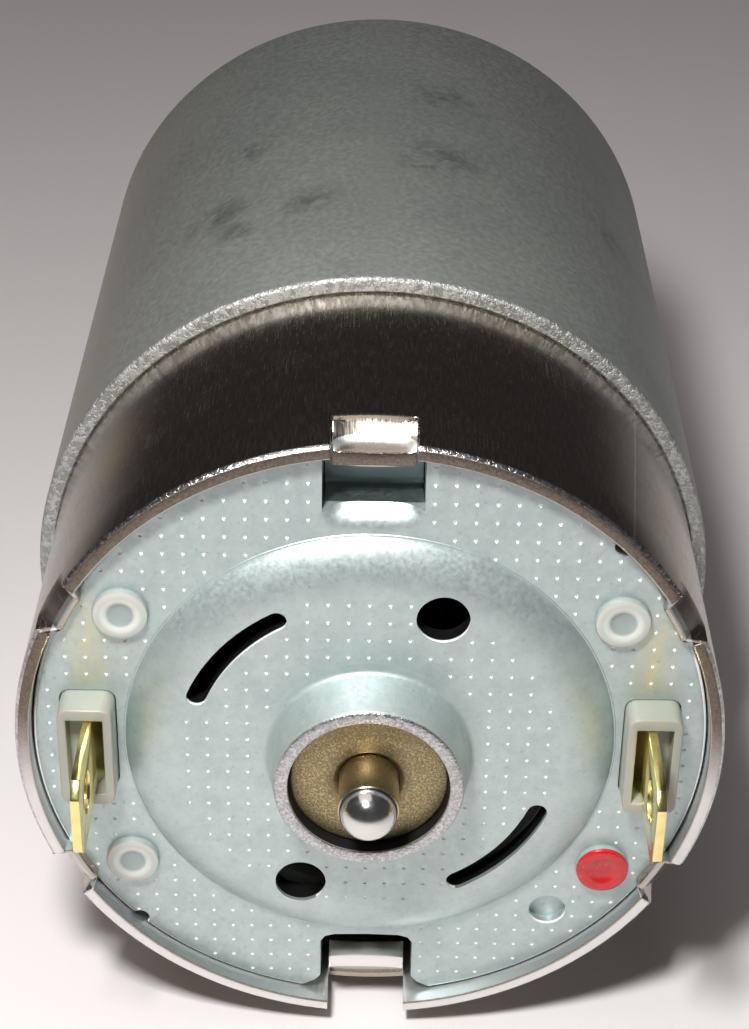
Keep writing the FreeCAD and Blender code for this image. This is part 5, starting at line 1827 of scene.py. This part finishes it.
@dataclass(frozen=True)
class Lamp:
    """A soft square lamp: name, place, target, length of a side, power in watts and colour."""

    name: str
    at: tuple[float, float, float]
    aim: tuple[float, float, float]
    size: float
    watts: float
    tint: Colour

    def hang(self) -> None:
        """Hang the lamp in the room."""
        data = bpy.data.lights.new(self.name, "AREA")
        data.size = self.size * MM
        data.energy = self.watts
        data.color = self.tint
        lamp = bpy.data.objects.new(self.name, data)
        bpy.context.scene.collection.objects.link(lamp)
        place, target = Vector(self.at), Vector(self.aim)
        lamp.location = place * MM
        lamp.rotation_euler = (target - place).to_track_quat("-Z", "Y").to_euler()


@dataclass
class Studio:
    """The pale floor, the soft lamps, the surroundings and the camera."""

    floor_level: float = -20.1
    floor_size: float = 4.0
    lens: float = 78.705
    sensor: float = 36.0
    clip: Spot = (0.005, 20.0)
    eye: tuple[float, float, float] = (0.000049, -0.15878, 0.074089)
    look: tuple[float, float, float] = (0.0, 0.852332, -0.523002)
    right: tuple[float, float, float] = (0.9998453, 0.0092, 0.014991)
    lamps: tuple[Lamp, ...] = (
        Lamp("key", (-22, -125, 110), (0, -50, 0), 20, 0.24, (1.0, 0.985, 0.97)),
        Lamp("fill", (-70, -30, 330), (0, -20, 0), 260, 0.19, (1.0, 0.91, 0.86)),
    )
    floor_tones: tuple[Colour, Colour] = ((0.82, 0.79, 0.79), (0.85, 0.82, 0.82))
    room_near: Colour = (0.06, 0.06, 0.065)
    room_far: Colour = (0.03, 0.028, 0.03)

    def floor(self) -> None:
        """Lay the plain pale floor."""
        Bench.clear()
        bpy.ops.mesh.primitive_plane_add(size=self.floor_size, location=(0, 0, self.floor_level * MM))
        floor = bpy.context.object
        floor.name = "floor"
        recipe = Recipe("floor_paint", Roughness=0.7, Specular_IOR_Level=0.15)
        soft = recipe.span(recipe.noise(9, detail=2), 0.3, 0.7)
        recipe.feed("Base Color", recipe.mix(soft, *self.floor_tones))
        floor.data.materials.append(recipe.material)

    def surroundings(self) -> None:
        """Fill the room: dim ahead of the motor and pale behind the camera."""
        world = bpy.data.worlds.new("room")
        bpy.context.scene.world = world
        world.use_nodes = True
        tree = world.node_tree
        back = tree.nodes["Background"]
        place = tree.nodes.new("ShaderNodeTexCoord")
        split = tree.nodes.new("ShaderNodeSeparateXYZ")
        tree.links.new(place.outputs["Generated"], split.inputs[0])
        ramp = tree.nodes.new("ShaderNodeValToRGB")
        tree.links.new(split.outputs["Y"], ramp.inputs["Fac"])
        for step, place_on, tone in zip(ramp.color_ramp.elements, (0.0, 0.6), (self.room_near, self.room_far)):
            step.position = place_on
            step.color = (*tone, 1)
        tree.links.new(ramp.outputs["Color"], back.inputs["Color"])
        back.inputs["Strength"].default_value = 1.0

    def camera(self) -> None:
        """Set the camera where the photograph was taken."""
        data = bpy.data.cameras.new("camera")
        data.lens = self.lens
        data.sensor_width = self.sensor
        data.sensor_fit = "AUTO"
        data.clip_start, data.clip_end = self.clip
        camera = bpy.data.objects.new("camera", data)
        bpy.context.scene.collection.objects.link(camera)
        look, right = Vector(self.look), Vector(self.right)
        up = right.cross(look)
        turn = Matrix((right, up, -look)).transposed().to_4x4()
        camera.matrix_world = Matrix.Translation(Vector(self.eye)) @ turn
        bpy.context.scene.camera = camera

    def build(self) -> None:
        """Set up the whole studio."""
        bpy.context.scene.view_settings.view_transform = "Standard"
        self.floor()
        self.surroundings()
        for lamp in self.lamps:
            lamp.hang()
        self.camera()


def main() -> None:
    """Build every piece in order, dress the inner solids and set up the studio."""
    logging.basicConfig(level=logging.INFO, format="%(message)s")
    bronze = SinteredBronze().make()
    steel = ShaftSteel().make()
    spring = Metal("spring_steel", (0.48, 0.48, 0.49), (0.30, 0.30, 0.31), 0.3).make()
    brass = Metal("bright_brass", (0.95, 0.84, 0.38), (0.82, 0.69, 0.29), 0.18, depth=0.005).make()
    nylon = MilkyNylon().make()
    Can().build(CanZinc().make())
    FluxRing().build(RingZinc().make())
    EndPlate().build(PlateZinc().make())
    BrushCard().build(nylon, RedLacquer().make())
    for side in (1, -1):
        Terminal(side=side).build(brass)
    RearBearing().build(bronze)
    Shaft().build(steel)
    dressed = (
        (("front_bearing",), bronze),
        (("brush_box_left", "brush_box_right"), brass),
        ((
            "rear_bearing_clip", "front_bearing_clip", "magnet_spreader_top", "magnet_spreader_bottom",
            "brush_spring_left", "brush_spring_right",
        ), spring),
        (("rear_spacer", "front_spacer"), nylon),
        (
            ("carbon_brush_left", "carbon_brush_right"),
            Pressed("brush_carbon", (0.035, 0.035, 0.037), (0.09, 0.09, 0.095), 0.5).make(),
        ),
        (("magnet_left", "magnet_right"), Pressed("ferrite", (0.07, 0.07, 0.075), (0.13, 0.13, 0.14), 0.7).make()),
        (("lamination_stack",), Laminated().make()),
        (
            ("rear_fibre", "front_fibre", "rear_thrust_washer", "front_thrust_washer"),
            Pressed("red_fibre", (0.30, 0.07, 0.035), (0.42, 0.13, 0.07), 0.6).make(),
        ),
        (("windings",), EnamelledWire().make()),
        (("commutator_hub",), Pressed("phenolic", (0.05, 0.03, 0.022), (0.10, 0.06, 0.04), 0.45).make()),
        (("commutator_bars",), Metal("turned_copper", (0.85, 0.45, 0.28), (0.45, 0.20, 0.11), 0.25).make()),
        (("varistor_ring",), Pressed("fired_ceramic", (0.16, 0.16, 0.18), (0.26, 0.26, 0.29), 0.55).make()),
    )
    for nodes, material in dressed:
        dress_solids(nodes, material)
    LOG.info("solids dressed as they are: %d", sum(len(nodes) for nodes, _ in dressed))
    Studio().build()


if __name__ == "__main__":
    main()
